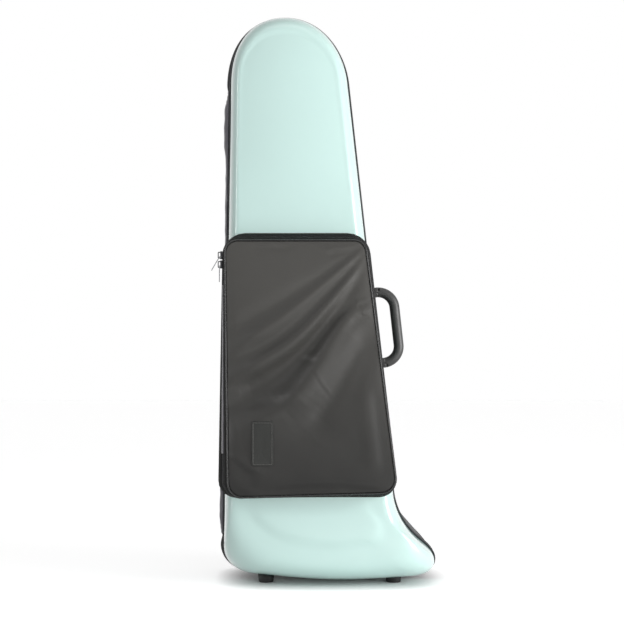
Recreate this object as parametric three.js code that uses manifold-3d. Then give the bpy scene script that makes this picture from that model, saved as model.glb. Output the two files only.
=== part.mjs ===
// Hard trombone case that stands on its bell end: a moulded lid and a textile-covered back half, joined by
// a fabric hinge on the left and a zip round the rest, with a zipped bag on the lid and a fixed side handle.
// Millimetres. X runs right from the foot of the rim's left edge, Z up from the floor, and the lid faces -Y.
import * as THREE from "three";
import { mergeVertices } from "three/addons/utils/BufferGeometryUtils.js";
import Module from "manifold-3d";

const wasm = await Module();
wasm.setup();

// Outline of the rim
const caseHeight = 941;
const caseWidth = 351;
const crownX = 102;
const topWidth = 195;
const shoulderDrop = 110;
const leftLean = 11;
const cornerHeight = 58;
const cornerLength = 45;
const cornerLift = 10;
const neckRun = 69.5;
const neckZ = 148.5;
const flareRun = 27;
const flareZ = 69;
const lipZ = 34;
const lipUnderRun = 37;
const lipUnderLift = 5;
const neckX = caseWidth - neckRun;
const flareX = caseWidth - flareRun;
const lipX = caseWidth;
const lipUnderX = caseWidth - lipUnderRun;
const keelRun = 161;
const keelX = caseWidth - keelRun;
const keelZ = 5;

// Front face of a half, as insets from the rim's knots
const sideInset = 20;
const crownInset = 34;
const faceCornerRise = 107;
const faceCornerRun = 50;
const faceCornerLift = 48;
const faceNeckInset = 24;
const faceNeckRise = 22;
const faceFlareInset = 56;
const faceFlareRise = 43;
const faceLipInset = 73;
const faceLipRise = 58;
const faceUnderInset = 56;
const faceUnderRise = 53;
const faceKeelRise = 46;

// Depth of each half at two heights, and the swell of the back half beside the neck and along its hinge
const lowStation = 60;
const highStation = 880;
const lidDepthLow = 128;
const lidDepthHigh = 78;
const backDepthLow = 142;
const backDepthHigh = 88;
const neckSwell = 9;
const hingeSwell = 5;
const wall = 3;
const edgePowerShare = 0.72;

// Seams and clearances
const seam = 0.3;
const overrun = 2;
const rimY = 9;

// Outline curve handles, as shares of each chord
const arcShare = 0.39;
const crownLeftShare = 0.43;
const crownRightShare = 0.38;
const easyShare = 0.34;
const keelSlopeShare = 0.08;
const flareSlopeShare = 0.85;

// Points along each stretch of the outline, and rings across a half
const crownCount = 7;
const rightCount = 4;
const neckCount = 6;
const flareCount = 4;
const lipCount = 5;
const keelCount = 4;
const cornerCount = 6;
const outerRingCount = 7;
const innerRingCount = 4;

// Rim trims, zip and hinge strip
const trimWidth = 5;
const trimThick = 3;
const trimLip = 1.5;
const tapeInset = 0.5;
const tapeThick = 1.5;
const coilWidth = 2.7;
const coilProud = 0.8;
const stripThick = 1.6;
const stripFlat = 6;
const stripBulge = 5;
const stripLowShare = 0.018;
const stripHighShare = 0.99;

// Linings
const foam = 12;
const linerDrop = 2;
const bellRadius = 121;
const bellInset = 169;
const bellX = caseWidth - bellInset;
const bellY = 8;
const bellRimZ = 46;
const bellLength = 560;
const bellRoom = 3;
const bellFlareLength = 25;
const bellFlareShare = 0.75;
const bellCount = 9;
const bellSides = 24;
const bowWellX = 130;
const bowWellWidth = 150;
const bowWellHeight = 200;
const bowWellDepth = 58;
const bowWellOver = 30;
const valveWellX = 72;
const valveWellZ = 330;
const valveWellWidth = 104;
const valveWellHeight = 300;
const valveWellDepth = 80;
const boxWellWidth = 96;
const boxWellHeight = 92;
const boxWellDepth = 46;
const boxWellGap = 26;
const wellRadius = 22;
const wellSteps = 3;
const mouthpieceRadius = 14;
const mouthpieceDepth = 40;
const mouthpieceGap = 30;
const slideWidth = 100;
const slideX = 97;
const slideLowZ = 100;
const slideHighZ = 858;
const slideRoom = 2;
const slideSink = 16;
const slideRound = 44;
const cradleBorder = 12;
const cradleDepth = 26;

// Slide straps and the pads that hold their ends
const strapWidth = 38;
const strapThick = 2.4;
const strapLowZ = 280;
const strapHighZ = 640;
const padLength = 10;
const padThick = 1.2;

// Feet
const footRadius = 12.5;
const footSeatRadius = 14;
const footLeftX = 70;
const footInset = 69;
const footRightX = caseWidth - footInset;
const lidFootY = 46;
const backFootY = 54;
const footReach = 24;
const footSides = 20;
const footRim = 2;
const footWellRadius = 5;
const footWellDepth = 4;
const screwRadius = 2;
const screwHeadRadius = 4.4;
const screwHeadHeight = 2.4;
const screwSides = 12;

// Handle
const handleZ = 421;
const handleY = 38;
const handleSpan = 121;
const handleReach = 40;
const handleRadius = 8.6;
const handleBend = 28;
const handleSides = 12;
const handleBendCount = 5;
const handleGripCount = 6;
const basePlateLength = 34;
const basePlateWidth = 26;
const basePlateThick = 4;
const boltRadius = 3;
const boltHeadRadius = 5.5;
const boltHeadHeight = 3;
const boltSides = 12;
const backingWidth = 20;
const backingGap = 0.9;
const backingThick = 2;
const backingOver = 16;

// Rings for carrying straps
const ringWireRadius = 2;
const ringWidth = 30;
const ringDrop = 20;
const ringSides = 8;
const ringArcCount = 10;
const tabWidth = 24;
const tabLength = 42;
const tabThick = 3;
const tabRoom = 0.4;
const tabLoopThick = 2;
const tabLoopSteps = 10;
const tabSlope = 8;
const ringUpperZ = 705;
const ringLowerZ = 215;
const ringUpperSpread = 76;
const ringLowerSpread = 156;
const ringUpperX = 112;
const ringLowerX = 150;

// Bag on the lid
const bagTopZ = 578;
const bagBottomZ = 149;
const bagLeftOver = 7;
const bagRightOver = 4.5;
const bagDepth = 45;
const bagUpperLeftTaper = 4;
const bagLowerLeftTaper = 17;
const bagUpperRightTaper = 7;
const bagLowerRightTaper = 0;
const bagTopTaper = 12;
const bagLeftBottomTaper = 2;
const bagRightBottomTaper = 10;
const bagTopRadius = 38;
const bagBottomRadius = 27;
const bagFaceTopRadius = 22;
const bagFaceBottomRadius = 25;
const bagBackThick = 3;
const bagWallThick = 2.5;
const bagZipShare = 0.5;
const bagTapeWidth = 5;
const bagHug = 34;
const bagPanelThick = 2.6;
const bagCrown = 4;
const bagCrownInset = 28;
const bagPipe = 1.3;
const bagPipeSides = 6;
const bagCornerCount = 5;
const bagStripRise = 72;
const bagStripDrop = 85;
const bagStripLowZ = bagBottomZ + bagStripRise;
const bagStripHighZ = bagTopZ - bagStripDrop;
const bagStripThick = 1.4;
const patchX = 67.5;
const patchRise = 90;
const patchZ = bagBottomZ + patchRise;
const patchWidth = 35;
const patchHeight = 72;
const patchThick = 2;
const patchRadius = 6;
const patchSteps = 3;

// Zip sliders and pulls
const sliderLength = 13;
const sliderWidth = 9;
const sliderThick = 3.4;
const bridgeWidth = 2.4;
const bridgeSpan = 11;
const bridgeLeg = 1.6;
const bridgeRoom = 2.5;
const bridgeBar = 1.5;
const pullThick = 1.4;
const pullWidth = 6.4;
const pullLength = 26;
const pullWindow = 5.6;
const pullTipShare = 0.7;
const sliderGap = 2;
const sliderRoom = 0.6;
const caseSliderZ = 238;
const caseSliderStep = 38;
const bagSliderDrop = 37;
const bagSliderZ = bagTopZ - bagSliderDrop;
const bagPullTilt = 30;

// Colours, roughness and metalness
const finishes = {
  shell: { color: 0xcdeae4, roughness: 0.18, metalness: 0 },
  textile: { color: 0x2c2c2f, roughness: 0.85, metalness: 0 },
  trim: { color: 0x141416, roughness: 0.45, metalness: 0 },
  tape: { color: 0x17171a, roughness: 0.8, metalness: 0 },
  strip: { color: 0x46424c, roughness: 0.55, metalness: 0 },
  plush: { color: 0x24242a, roughness: 0.95, metalness: 0 },
  leather: { color: 0x2b2b2d, roughness: 0.42, metalness: 0 },
  rubber: { color: 0x101011, roughness: 0.7, metalness: 0 },
  handle: { color: 0x232326, roughness: 0.4, metalness: 0 },
  steel: { color: 0xb9babd, roughness: 0.3, metalness: 1 },
  zinc: { color: 0x3a3b3e, roughness: 0.35, metalness: 0.9 },
  webbing: { color: 0x1b1b1d, roughness: 0.9, metalness: 0 },
};
const materials = Object.fromEntries(
  Object.entries(finishes).map(([name, look]) => [name, new THREE.MeshStandardMaterial(look)]),
);

// Widening towards the ends of an outline's copy, on which its triangles are chosen
const waistShare = 0.02;

// Plane vectors hold x and z
const flat = (x, z) => new THREE.Vector2(x, z);
const space = (x, y, z) => new THREE.Vector3(x, y, z);
const mix = (a, b, share) => a.clone().lerp(b, share);

// Triangles over a flat outline, wound as the outline is. They are chosen on a copy with a narrowed waist,
// so that points in line along a straight side are all kept.
function capFaces(points) {
  const bounds = new THREE.Box2().setFromPoints(points);
  const middle = bounds.getCenter(new THREE.Vector2());
  const reach = bounds.getSize(new THREE.Vector2()).y / 2;
  const waisted = points.map((p) => {
    const away = (p.y - middle.y) / reach;
    return flat(middle.x + (p.x - middle.x) * (1 + waistShare * away * away), p.y);
  });
  const area = THREE.ShapeUtils.area(waisted);
  return THREE.ShapeUtils.triangulateShape(waisted, []).map((face) => {
    const own = THREE.ShapeUtils.area(face.map((i) => waisted[i]));
    return own * area < 0 ? [face[0], face[2], face[1]] : face;
  });
}

// Six times the signed volume inside indexed triangles
function signedVolume(points, index) {
  let sum = 0;
  for (let i = 0; i < index.length; i += 3) {
    const [a, b, c] = [points[index[i]], points[index[i + 1]], points[index[i + 2]]];
    sum += a.dot(b.clone().cross(c));
  }
  return sum;
}

// A closed body from rings of points, open rings ending in caps that toFlat lays out. From turnedFrom on,
// each four-sided patch is split along its other diagonal, so that nested skins split alike.
function loft(rings, toFlat, turnedFrom = Infinity) {
  const sides = rings[0].length;
  const points = rings.flat();
  const index = [];
  const turns = toFlat ? rings.length - 1 : rings.length;
  for (let r = 0; r < turns; r++)
    for (let s = 0; s < sides; s++) {
      const next = ((r + 1) % rings.length) * sides;
      const a = r * sides + s;
      const b = r * sides + ((s + 1) % sides);
      const c = next + s;
      const d = next + ((s + 1) % sides);
      const split = r >= turnedFrom ? [a, b, c, b, d, c] : [a, b, d, a, d, c];
      index.push(...split);
    }
  if (toFlat) {
    const start = capFaces(rings[0].map(toFlat));
    const end = capFaces(rings[rings.length - 1].map(toFlat));
    const last = (rings.length - 1) * sides;
    start.forEach(([a, b, c]) => index.push(a, c, b));
    end.forEach(([a, b, c]) => index.push(last + a, last + b, last + c));
  }
  if (signedVolume(points, index) < 0)
    for (let i = 0; i < index.length; i += 3) [index[i + 1], index[i + 2]] = [index[i + 2], index[i + 1]];
  const geometry = new THREE.BufferGeometry();
  const places = points.flatMap((p) => [p.x, p.y, p.z]);
  geometry.setAttribute("position", new THREE.Float32BufferAttribute(places, 3));
  geometry.setIndex(index);
  return geometry;
}

// A geometry as a solid for cutting and joining
function solidOf(geometry) {
  const bare = geometry.clone();
  bare.deleteAttribute("normal");
  bare.deleteAttribute("uv");
  const merged = mergeVertices(bare, 1e-4);
  return new wasm.Manifold(
    new wasm.Mesh({
      numProp: 3,
      vertProperties: merged.attributes.position.array,
      triVerts: new Uint32Array(merged.index.array),
    }),
  );
}

// The geometry of a solid
function geometryOf(solid) {
  const mesh = solid.getMesh();
  const geometry = new THREE.BufferGeometry();
  geometry.setAttribute("position", new THREE.BufferAttribute(mesh.vertProperties, 3));
  geometry.setIndex(new THREE.BufferAttribute(mesh.triVerts, 1));
  return geometry;
}

const carved = (base, ...tools) => tools.reduce((s, t) => s.subtract(solidOf(t)), solidOf(base));
const cut = (base, ...tools) => geometryOf(carved(base, ...tools));
const join = (base, ...more) => geometryOf(more.reduce((s, t) => s.add(solidOf(t)), solidOf(base)));
const overlap = (a, b) => geometryOf(solidOf(a).intersect(solidOf(b)));

// A box between two corners
function box(low, high) {
  const size = high.clone().sub(low);
  const middle = mix(low, high, 0.5);
  return new THREE.BoxGeometry(size.x, size.y, size.z).translate(middle.x, middle.y, middle.z);
}

// A shape drawn in plane axes, given thickness along local Z
const slab = (shape, thickness) =>
  new THREE.ExtrudeGeometry(shape, { depth: thickness, bevelEnabled: false, curveSegments: 1 });

// Outward directions at the points of a clockwise line
function outwards(points, closed = true) {
  const count = points.length;
  return points.map((p, i) => {
    const before = points[closed ? (i + count - 1) % count : Math.max(i - 1, 0)];
    const after = points[closed ? (i + 1) % count : Math.min(i + 1, count - 1)];
    const way = after.clone().sub(before).normalize();
    return flat(-way.y, way.x);
  });
}

// Cubic stretch between two knots, without its last point
function stretch(from, to, count, share) {
  const reach = from.at.distanceTo(to.at) * share;
  const curve = new THREE.CubicBezierCurve(
    from.at,
    from.at.clone().addScaledVector(from.way, reach),
    to.at.clone().addScaledVector(to.way, -reach),
    to.at,
  );
  return Array.from({ length: count }, (_, i) => curve.getPoint(i / count));
}

// Straight stretch between two knots, without its last point
const straight = (from, to, shares) => shares.map((share) => mix(from.at, to.at, share));

const even = (count) => Array.from({ length: count }, (_, i) => i / count);
const knot = (x, z, wayX, wayZ) => ({ at: flat(x, z), way: flat(wayX, wayZ).normalize() });

const shoulderZ = caseHeight - shoulderDrop;
const rightShoulderX = leftLean + topWidth;
const leftWay = [leftLean, shoulderZ - cornerHeight];
const rightWay = [neckX - rightShoulderX, neckZ - shoulderZ];

const rimKnots = {
  corner: knot(0, cornerHeight, ...leftWay),
  leftShoulder: knot(leftLean, shoulderZ, ...leftWay),
  crown: knot(crownX, caseHeight, 1, 0),
  rightShoulder: knot(rightShoulderX, shoulderZ, ...rightWay),
  neck: knot(neckX, neckZ, ...rightWay),
  flare: knot(flareX, flareZ, 1, -flareSlopeShare),
  lip: knot(lipX, lipZ, 0, -1),
  under: knot(lipUnderX, keelZ + lipUnderLift, -1, -keelSlopeShare),
  keel: knot(keelX, keelZ, -1, 0),
  cornerUnder: knot(cornerLength, keelZ + cornerLift, -1, keelSlopeShare),
};

// The flat front face, each knot inset from the rim's own
const faceKnots = {
  corner: knot(sideInset, cornerHeight + faceCornerRise, ...leftWay),
  leftShoulder: knot(leftLean + sideInset, shoulderZ, ...leftWay),
  crown: knot(crownX, caseHeight - crownInset, 1, 0),
  rightShoulder: knot(rightShoulderX - sideInset, shoulderZ, ...rightWay),
  neck: knot(neckX - faceNeckInset, neckZ + faceNeckRise, ...rightWay),
  flare: knot(flareX - faceFlareInset, flareZ + faceFlareRise, 1, -1 / flareSlopeShare),
  lip: knot(lipX - faceLipInset, lipZ + faceLipRise, 0, -1),
  under: knot(lipUnderX - faceUnderInset, keelZ + lipUnderLift + faceUnderRise, -1, -keelSlopeShare),
  keel: knot(keelX, keelZ + faceKeelRise, -1, 0),
  cornerUnder: knot(
    cornerLength + faceCornerRun,
    keelZ + cornerLift + faceCornerLift,
    -1,
    flareSlopeShare / 2,
  ),
};

const leftShares = [0, stripLowShare, stripHighShare];

// Points round an outline, clockwise seen from the front, from the foot of the left edge
function outline(k) {
  return [
    ...straight(k.corner, k.leftShoulder, leftShares),
    ...stretch(k.leftShoulder, k.crown, crownCount, crownLeftShare),
    ...stretch(k.crown, k.rightShoulder, crownCount, crownRightShare),
    ...straight(k.rightShoulder, k.neck, even(rightCount)),
    ...stretch(k.neck, k.flare, neckCount, easyShare),
    ...stretch(k.flare, k.lip, flareCount, easyShare),
    ...stretch(k.lip, k.under, lipCount, arcShare),
    ...stretch(k.under, k.keel, keelCount, easyShare),
    ...stretch(k.keel, k.cornerUnder, keelCount, easyShare),
    ...stretch(k.cornerUnder, k.corner, cornerCount, arcShare),
  ];
}

const rimLine = outline(rimKnots);
const faceLine = outline(faceKnots);
const rimOut = outwards(rimLine);

// Where the neck lies in the outline, for the swell of the back half
const neckStart = leftShares.length + crownCount + crownCount + rightCount;
const neckSpan = neckCount + flareCount;

// How far the back half swells at a point of the outline: beside the neck, and along the hinge
function swellAt(i) {
  const along = THREE.MathUtils.clamp((i - neckStart) / neckSpan, 0, 1);
  const fromShoulder = THREE.MathUtils.clamp((i - leftShares.length) / crownCount, 0, 1);
  const toCorner = THREE.MathUtils.clamp((rimLine.length - i) / cornerCount, 0, 1);
  const beside = i > rimLine.length / 2 ? 1 - toCorner : 1 - fromShoulder;
  const hinge = Math.sin((Math.PI / 2) * beside) ** 2;
  return neckSwell * Math.sin(Math.PI * along) ** 2 + hingeSwell * hinge;
}

// The two halves, the lid on the -Y side
const lid = { side: -1, low: lidDepthLow, high: lidDepthHigh, swells: 0 };
const back = { side: 1, low: backDepthLow, high: backDepthHigh, swells: 1 };

// Depth of a half's front face at a height
function depthAt(half, z) {
  return half.low + ((half.high - half.low) * (z - lowStation)) / (highStation - lowStation);
}

// Share of a half's depth that its rim trim covers, where the side wall still runs straight
const trimShare = (trimWidth + trimThick) / backDepthLow;

// Angles round the edge of a half, from the face to the rim, with one at the trim's border
function edgeAngles(count) {
  const steps = Array.from({ length: count }, (_, r) => (Math.PI / 2) * (1 - r / count));
  return [...steps, Math.asin(trimShare ** (1 / edgePowerShare)), 0];
}

// Rings of one skin of a half, inset from its outer skin, from the face to the rim
function skinRings(half, inset, count, drop = 0) {
  return edgeAngles(count).map((angle, r) => {
    const inShare = 1 - Math.cos(angle) ** edgePowerShare;
    const upShare = Math.sin(angle) ** edgePowerShare;
    const sideShare = Math.max(0, (upShare - trimShare) / (1 - trimShare));
    const line = rimLine.map((p, i) => mix(p, faceLine[i], r === 0 ? 1 : inShare));
    const out = outwards(line);
    return line.map((p, i) => {
      const swell = half.swells * swellAt(i) * Math.sin(Math.PI * sideShare) ** 2;
      const q = p.clone().addScaledVector(out[i], swell - inset);
      const faceZ = mix(rimLine[i], faceLine[i], 1).y - out[i].y * inset;
      const deep = depthAt(half, r === 0 ? q.y : faceZ) - inset;
      const rise = upShare > 0 ? (deep - rimY) * upShare : drop;
      return space(q.x, half.side * (rimY + rise), q.y);
    });
  });
}

const flatFront = (p) => flat(p.x, p.z);
const filled = (half, inset, count, drop) => loft(skinRings(half, inset, count, drop), flatFront);
function shelled(half, outer, inner, count, drop) {
  const skins = [skinRings(half, outer, count, drop), skinRings(half, inner, innerRingCount, drop).reverse()];
  return loft(skins.flat(), flatFront, skins[0].length);
}

// Rings of a band, closed on themselves or ending in caps that are laid out by the band's own profile
function band(rings, profile, closed) {
  if (closed) return loft(rings);
  const plan = profile.map(([away, along]) => flat(away, along));
  let cursor = 0;
  return loft(rings, () => plan[cursor++ % plan.length]);
}

// A profile of [out, y] pairs carried along a line
function sweep(line, out, profile, closed) {
  const rings = line.map((p, i) =>
    profile.map(([away, y]) => space(p.x + out[i].x * away, y, p.y + out[i].y * away)),
  );
  return band(rings, profile, closed);
}

const round = (radius, height, sides) => new THREE.CylinderGeometry(radius, radius, height, sides);

// Where the straight right and left edges of the rim lie at a height
function rightEdgeX(z) {
  return neckX + ((rightShoulderX - neckX) * (z - neckZ)) / (shoulderZ - neckZ);
}
function leftEdgeX(z) {
  return (leftLean * (z - cornerHeight)) / (shoulderZ - cornerHeight);
}

// Every named piece, with its finish and the group it hangs in
const root = new THREE.Group();
function add(name, geometry, finish, parent = root) {
  const mesh = new THREE.Mesh(geometry, materials[finish]);
  mesh.name = name;
  parent.add(mesh);
  return mesh;
}

// A group whose local X runs along, local Z out, and whose origin is a point of the case
function seat(at, along, out) {
  const x = along.clone().normalize();
  const y = out.clone().cross(x).normalize();
  const z = x.clone().cross(y);
  const group = new THREE.Group();
  group.quaternion.setFromRotationMatrix(new THREE.Matrix4().makeBasis(x, y, z));
  group.position.copy(at);
  root.add(group);
  return group;
}

const rightWaySpace = space(rightWay[0], 0, rightWay[1]).normalize();
const rightOutSpace = space(-rightWaySpace.z, 0, rightWaySpace.x);

// Feet stand under the keel, cut to the shell above them
const footPlaces = [
  { name: "front_left", half: lid, x: footLeftX, y: -lidFootY },
  { name: "front_right", half: lid, x: footRightX, y: -lidFootY },
  { name: "back_left", half: back, x: footLeftX, y: backFootY },
  { name: "back_right", half: back, x: footRightX, y: backFootY },
];

function footBody() {
  const profile = [
    flat(0, footWellDepth),
    flat(footWellRadius, footWellDepth),
    flat(footWellRadius, 0),
    flat(footRadius - footRim, 0),
    flat(footRadius, footRim),
    flat(footSeatRadius, footReach),
    flat(0, footReach),
  ];
  return new THREE.LatheGeometry(profile, footSides).rotateX(Math.PI / 2);
}

function screwBody(top) {
  const profile = [
    flat(0, footWellDepth - seam - screwHeadHeight),
    flat(screwHeadRadius, footWellDepth - seam - screwHeadHeight),
    flat(screwHeadRadius, footWellDepth - seam),
    flat(screwRadius, footWellDepth - seam),
    flat(screwRadius, top),
    flat(0, top),
  ];
  return new THREE.LatheGeometry(profile, screwSides).rotateX(Math.PI / 2);
}

// Height of the keel above the floor at a place along it
function keelHeightAt(x) {
  const i = rimLine.findIndex((p, n) => {
    const q = rimLine[(n + 1) % rimLine.length];
    return n >= neckStart + neckSpan && p.x >= x && q.x < x;
  });
  const [p, q] = [rimLine[i], rimLine[(i + 1) % rimLine.length]];
  return THREE.MathUtils.mapLinear(x, p.x, q.x, p.y, q.y);
}

const holeTool = (place) =>
  round(screwRadius + seam, footReach * 2, screwSides).rotateX(Math.PI / 2).translate(place.x, place.y, 0);

// Handle bolts pass through the back half's side wall
const handleAt = space(rightEdgeX(handleZ), handleY, handleZ);
const handleGroup = seat(handleAt, rightWaySpace, rightOutSpace);
handleGroup.updateMatrixWorld(true);
const boltShares = [-0.5, 0.5];
function boltHole(share) {
  const hole = round(boltRadius + seam, handleReach * 2, boltSides).rotateX(Math.PI / 2);
  return hole.translate(share * handleSpan, 0, 0);
}
const inCase = (geometry) => geometry.applyMatrix4(handleGroup.matrixWorld);

// Shells
const footHoles = (half) => footPlaces.filter((place) => place.half === half).map(holeTool);
add("lid_shell", cut(shelled(lid, 0, wall, outerRingCount), ...footHoles(lid)), "shell");
const backHoles = [...footHoles(back), ...boltShares.map((share) => inCase(boltHole(share)))];
add("back_shell", cut(shelled(back, 0, wall, outerRingCount), ...backHoles), "textile");

// Trims clasp each shell's rim
function trimProfile(side) {
  const edge = rimY - seam;
  return [
    [seam, side * (rimY + trimWidth)],
    [seam + trimThick, side * (rimY + trimWidth)],
    [seam + trimThick, side * (edge - trimLip)],
    [-wall, side * (edge - trimLip)],
    [-wall, side * edge],
    [seam, side * edge],
  ];
}
add("lid_rim_trim", sweep(rimLine, rimOut, trimProfile(lid.side), true), "trim");
add("back_rim_trim", sweep(rimLine, rimOut, trimProfile(back.side), true), "trim");

// Zip tapes run from the strip's upper end round the case to its lower end
function tapeProfile(side) {
  const edge = rimY - seam - trimLip - seam;
  return [
    [-tapeInset - tapeThick, side * edge],
    [-tapeInset, side * edge],
    [-tapeInset, side * (seam + coilWidth)],
    [coilProud, side * (seam + coilWidth)],
    [coilProud, side * seam],
    [-tapeInset - tapeThick, side * seam],
  ];
}
const stripTopIndex = leftShares.length - 1;
const stripLowIndex = 1;
const zipOrder = rimLine.map((_, i) => (i + stripTopIndex) % rimLine.length);
const zipIndexes = zipOrder.slice(0, rimLine.length - stripTopIndex + stripLowIndex + 1);
const zipLine = zipIndexes.map((i) => rimLine[i]);
const zipOut = zipIndexes.map((i) => rimOut[i]);
add("lid_zip_tape", sweep(zipLine, zipOut, tapeProfile(lid.side), false), "tape");
add("back_zip_tape", sweep(zipLine, zipOut, tapeProfile(back.side), false), "tape");

// The hinge strip bulges between the trims and is split along its fold
const stripSeat = seam + trimThick + seam;
const stripOuter = stripSeat + stripThick + stripBulge;
function stripProfile(side) {
  const edge = rimY - trimLip;
  return [
    [stripSeat, side * (edge + stripFlat)],
    [stripSeat + stripThick, side * (edge + stripFlat)],
    [stripSeat + stripThick, side * edge],
    [stripOuter, side * (edge / 2)],
    [stripOuter, side * seam],
    [stripOuter - stripThick, side * seam],
    [stripOuter - stripThick, side * (edge / 2)],
    [stripSeat, side * (edge - stripThick)],
  ];
}
const stripInset = trimThick;
const stripLine = [
  rimLine[stripLowIndex].clone().addScaledVector(rimKnots.corner.way, stripInset),
  rimLine[stripTopIndex].clone().addScaledVector(rimKnots.corner.way, -stripInset),
];
const stripOut = outwards(stripLine, false);
add("hinge_strip_front", sweep(stripLine, stripOut, stripProfile(lid.side), false), "strip");
add("hinge_strip_back", sweep(stripLine, stripOut, stripProfile(back.side), false), "strip");

// Linings fill each half, the back one cut by the wells that hold the instrument
const liningOuter = wall + seam;
const liningInner = liningOuter + foam;
add("lid_lining", shelled(lid, liningOuter, liningInner, innerRingCount, linerDrop), "plush");

function roundedShape(x0, x1, z0, z1, radius, steps) {
  const shape = new THREE.Shape();
  const corners = [
    [x1 - radius, z0 + radius, -Math.PI / 2],
    [x1 - radius, z1 - radius, 0],
    [x0 + radius, z1 - radius, Math.PI / 2],
    [x0 + radius, z0 + radius, Math.PI],
  ];
  const points = corners.flatMap(([x, z, start]) =>
    Array.from({ length: steps + 1 }, (_, i) => {
      const angle = start + ((Math.PI / 2) * i) / steps;
      return flat(x + radius * Math.cos(angle), z + radius * Math.sin(angle));
    }),
  );
  return shape.setFromPoints(points);
}

// A cutter from in front of the back half down to a depth
function wellTool(well) {
  return slab(well.shape, well.depth + rimY).rotateX(Math.PI / 2).translate(0, well.depth, 0);
}

function bellTool() {
  const profile = Array.from({ length: bellCount + 1 }, (_, i) => {
    const along = bellLength * (i / bellCount) ** 2;
    return flat(bellRadius * (1 + along / bellFlareLength) ** -bellFlareShare + bellRoom, along);
  });
  const closed = [flat(0, 0), ...profile, flat(0, bellLength)];
  return new THREE.LatheGeometry(closed, bellSides).rotateX(Math.PI / 2).translate(bellX, bellY, bellRimZ);
}
const bowHighZ = bellRimZ + bellLength + bowWellOver;
const boxLowZ = bowHighZ + boxWellGap;
function well(x, lowZ, width, height, depth) {
  const shape = roundedShape(x - width / 2, x + width / 2, lowZ, lowZ + height, wellRadius, wellSteps);
  return { shape, depth };
}
const wells = [
  well(bowWellX, bowHighZ - bowWellHeight, bowWellWidth, bowWellHeight, bowWellDepth),
  well(valveWellX, valveWellZ - valveWellHeight / 2, valveWellWidth, valveWellHeight, valveWellDepth),
  well(crownX, boxLowZ, boxWellWidth, boxWellHeight, boxWellDepth),
];
const mouthpieceZ = boxLowZ + boxWellHeight + mouthpieceGap + mouthpieceRadius;
const mouthpieceTool = round(mouthpieceRadius, mouthpieceDepth * 2, bellSides);
mouthpieceTool.translate(crownX, 0, mouthpieceZ);

// Room in the back lining for the plate and bolt heads behind the handle
const backingLength = handleSpan + backingOver * 2;
const backingTop = -wall - backingGap;
const backingLow = backingTop - backingThick;
const backingRoom = box(
  space(-backingLength / 2 - seam, -backingWidth / 2 - seam, backingLow - boltHeadHeight - seam - seam),
  space(backingLength / 2 + seam, backingWidth / 2 + seam, 0),
);
const backFilling = carved(
  filled(back, liningOuter, innerRingCount, linerDrop),
  bellTool(),
  ...wells.map(wellTool),
  mouthpieceTool,
  inCase(backingRoom),
);

// The back's filling is two blocks, one round the bell section and one round the accessory box
const blockSeamZ = boxLowZ - boxWellGap / 2;
const blockReach = caseWidth * 2;
const bellBlockRoom = box(space(-blockReach, 0, 0), space(blockReach, blockReach, blockSeamZ - seam / 2));
const boxBlockRoom = box(
  space(-blockReach, 0, blockSeamZ + seam / 2),
  space(blockReach, blockReach, caseHeight),
);
add("bell_block", geometryOf(backFilling.intersect(solidOf(bellBlockRoom))), "plush");
add("accessory_block", geometryOf(backFilling.intersect(solidOf(boxBlockRoom))), "plush");

// A body between two heights over the lid's front face, negative heights lying inside the case
function facePoint(p, height) {
  return space(p.x, -depthAt(lid, p.y) - height, p.y);
}
function prism(points, low, high) {
  return loft([points.map((p) => facePoint(p, low)), points.map((p) => facePoint(p, high))], flatFront);
}

// The slide lies in a channel of a foam cradle on the lid's lining
const cradleSeat = -liningInner - seam;
const cradleTop = cradleSeat - cradleDepth;
const slideHalf = slideWidth / 2 + slideRoom;
const cradleShape = roundedShape(
  slideX - slideHalf - cradleBorder,
  slideX + slideHalf + cradleBorder,
  slideLowZ - cradleBorder,
  slideHighZ + cradleBorder,
  slideRound + cradleBorder,
  wellSteps,
);
const channelShape = roundedShape(
  slideX - slideHalf,
  slideX + slideHalf,
  slideLowZ,
  slideHighZ,
  slideRound,
  wellSteps,
);
const cradleBlock = overlap(
  filled(lid, liningInner + seam, innerRingCount, linerDrop),
  prism(cradleShape.getPoints(), cradleTop, cradleSeat + overrun),
);
const channel = prism(channelShape.getPoints(), cradleTop - overrun, cradleTop + slideSink);
add("slide_cradle", cut(cradleBlock, channel), "plush");

const padLow = cradleTop - seam;
const padTop = padLow - padThick;
const strapFace = padTop - seam;
const strapPlaces = { lower: strapLowZ, upper: strapHighZ };
const rectangle = (x0, x1, z0, z1) => [flat(x0, z0), flat(x0, z1), flat(x1, z1), flat(x1, z0)];
for (const [name, z] of Object.entries(strapPlaces)) {
  const [low, high] = [z - strapWidth / 2, z + strapWidth / 2];
  const [left, right] = [slideX - slideHalf - padLength, slideX + slideHalf + padLength];
  const strap = prism(rectangle(left, right, low, high), strapFace - strapThick, strapFace);
  const padLeft = prism(rectangle(left, left + padLength, low, high), padTop, padLow);
  const padRight = prism(rectangle(right - padLength, right, low, high), padTop, padLow);
  add("slide_strap_" + name, strap, "webbing");
  add("strap_pad_left_" + name, padLeft, "webbing");
  add("strap_pad_right_" + name, padRight, "webbing");
}

// Feet and their screws
for (const place of footPlaces) {
  const body = footBody().translate(place.x, place.y, 0);
  const shellAbove = filled(place.half, -seam, outerRingCount);
  add("foot_" + place.name, cut(body, holeTool(place), shellAbove), "rubber");
  const top = keelHeightAt(place.x) + wall - seam;
  add("foot_screw_" + place.name, screwBody(top).translate(place.x, place.y, 0), "steel");
}

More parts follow.
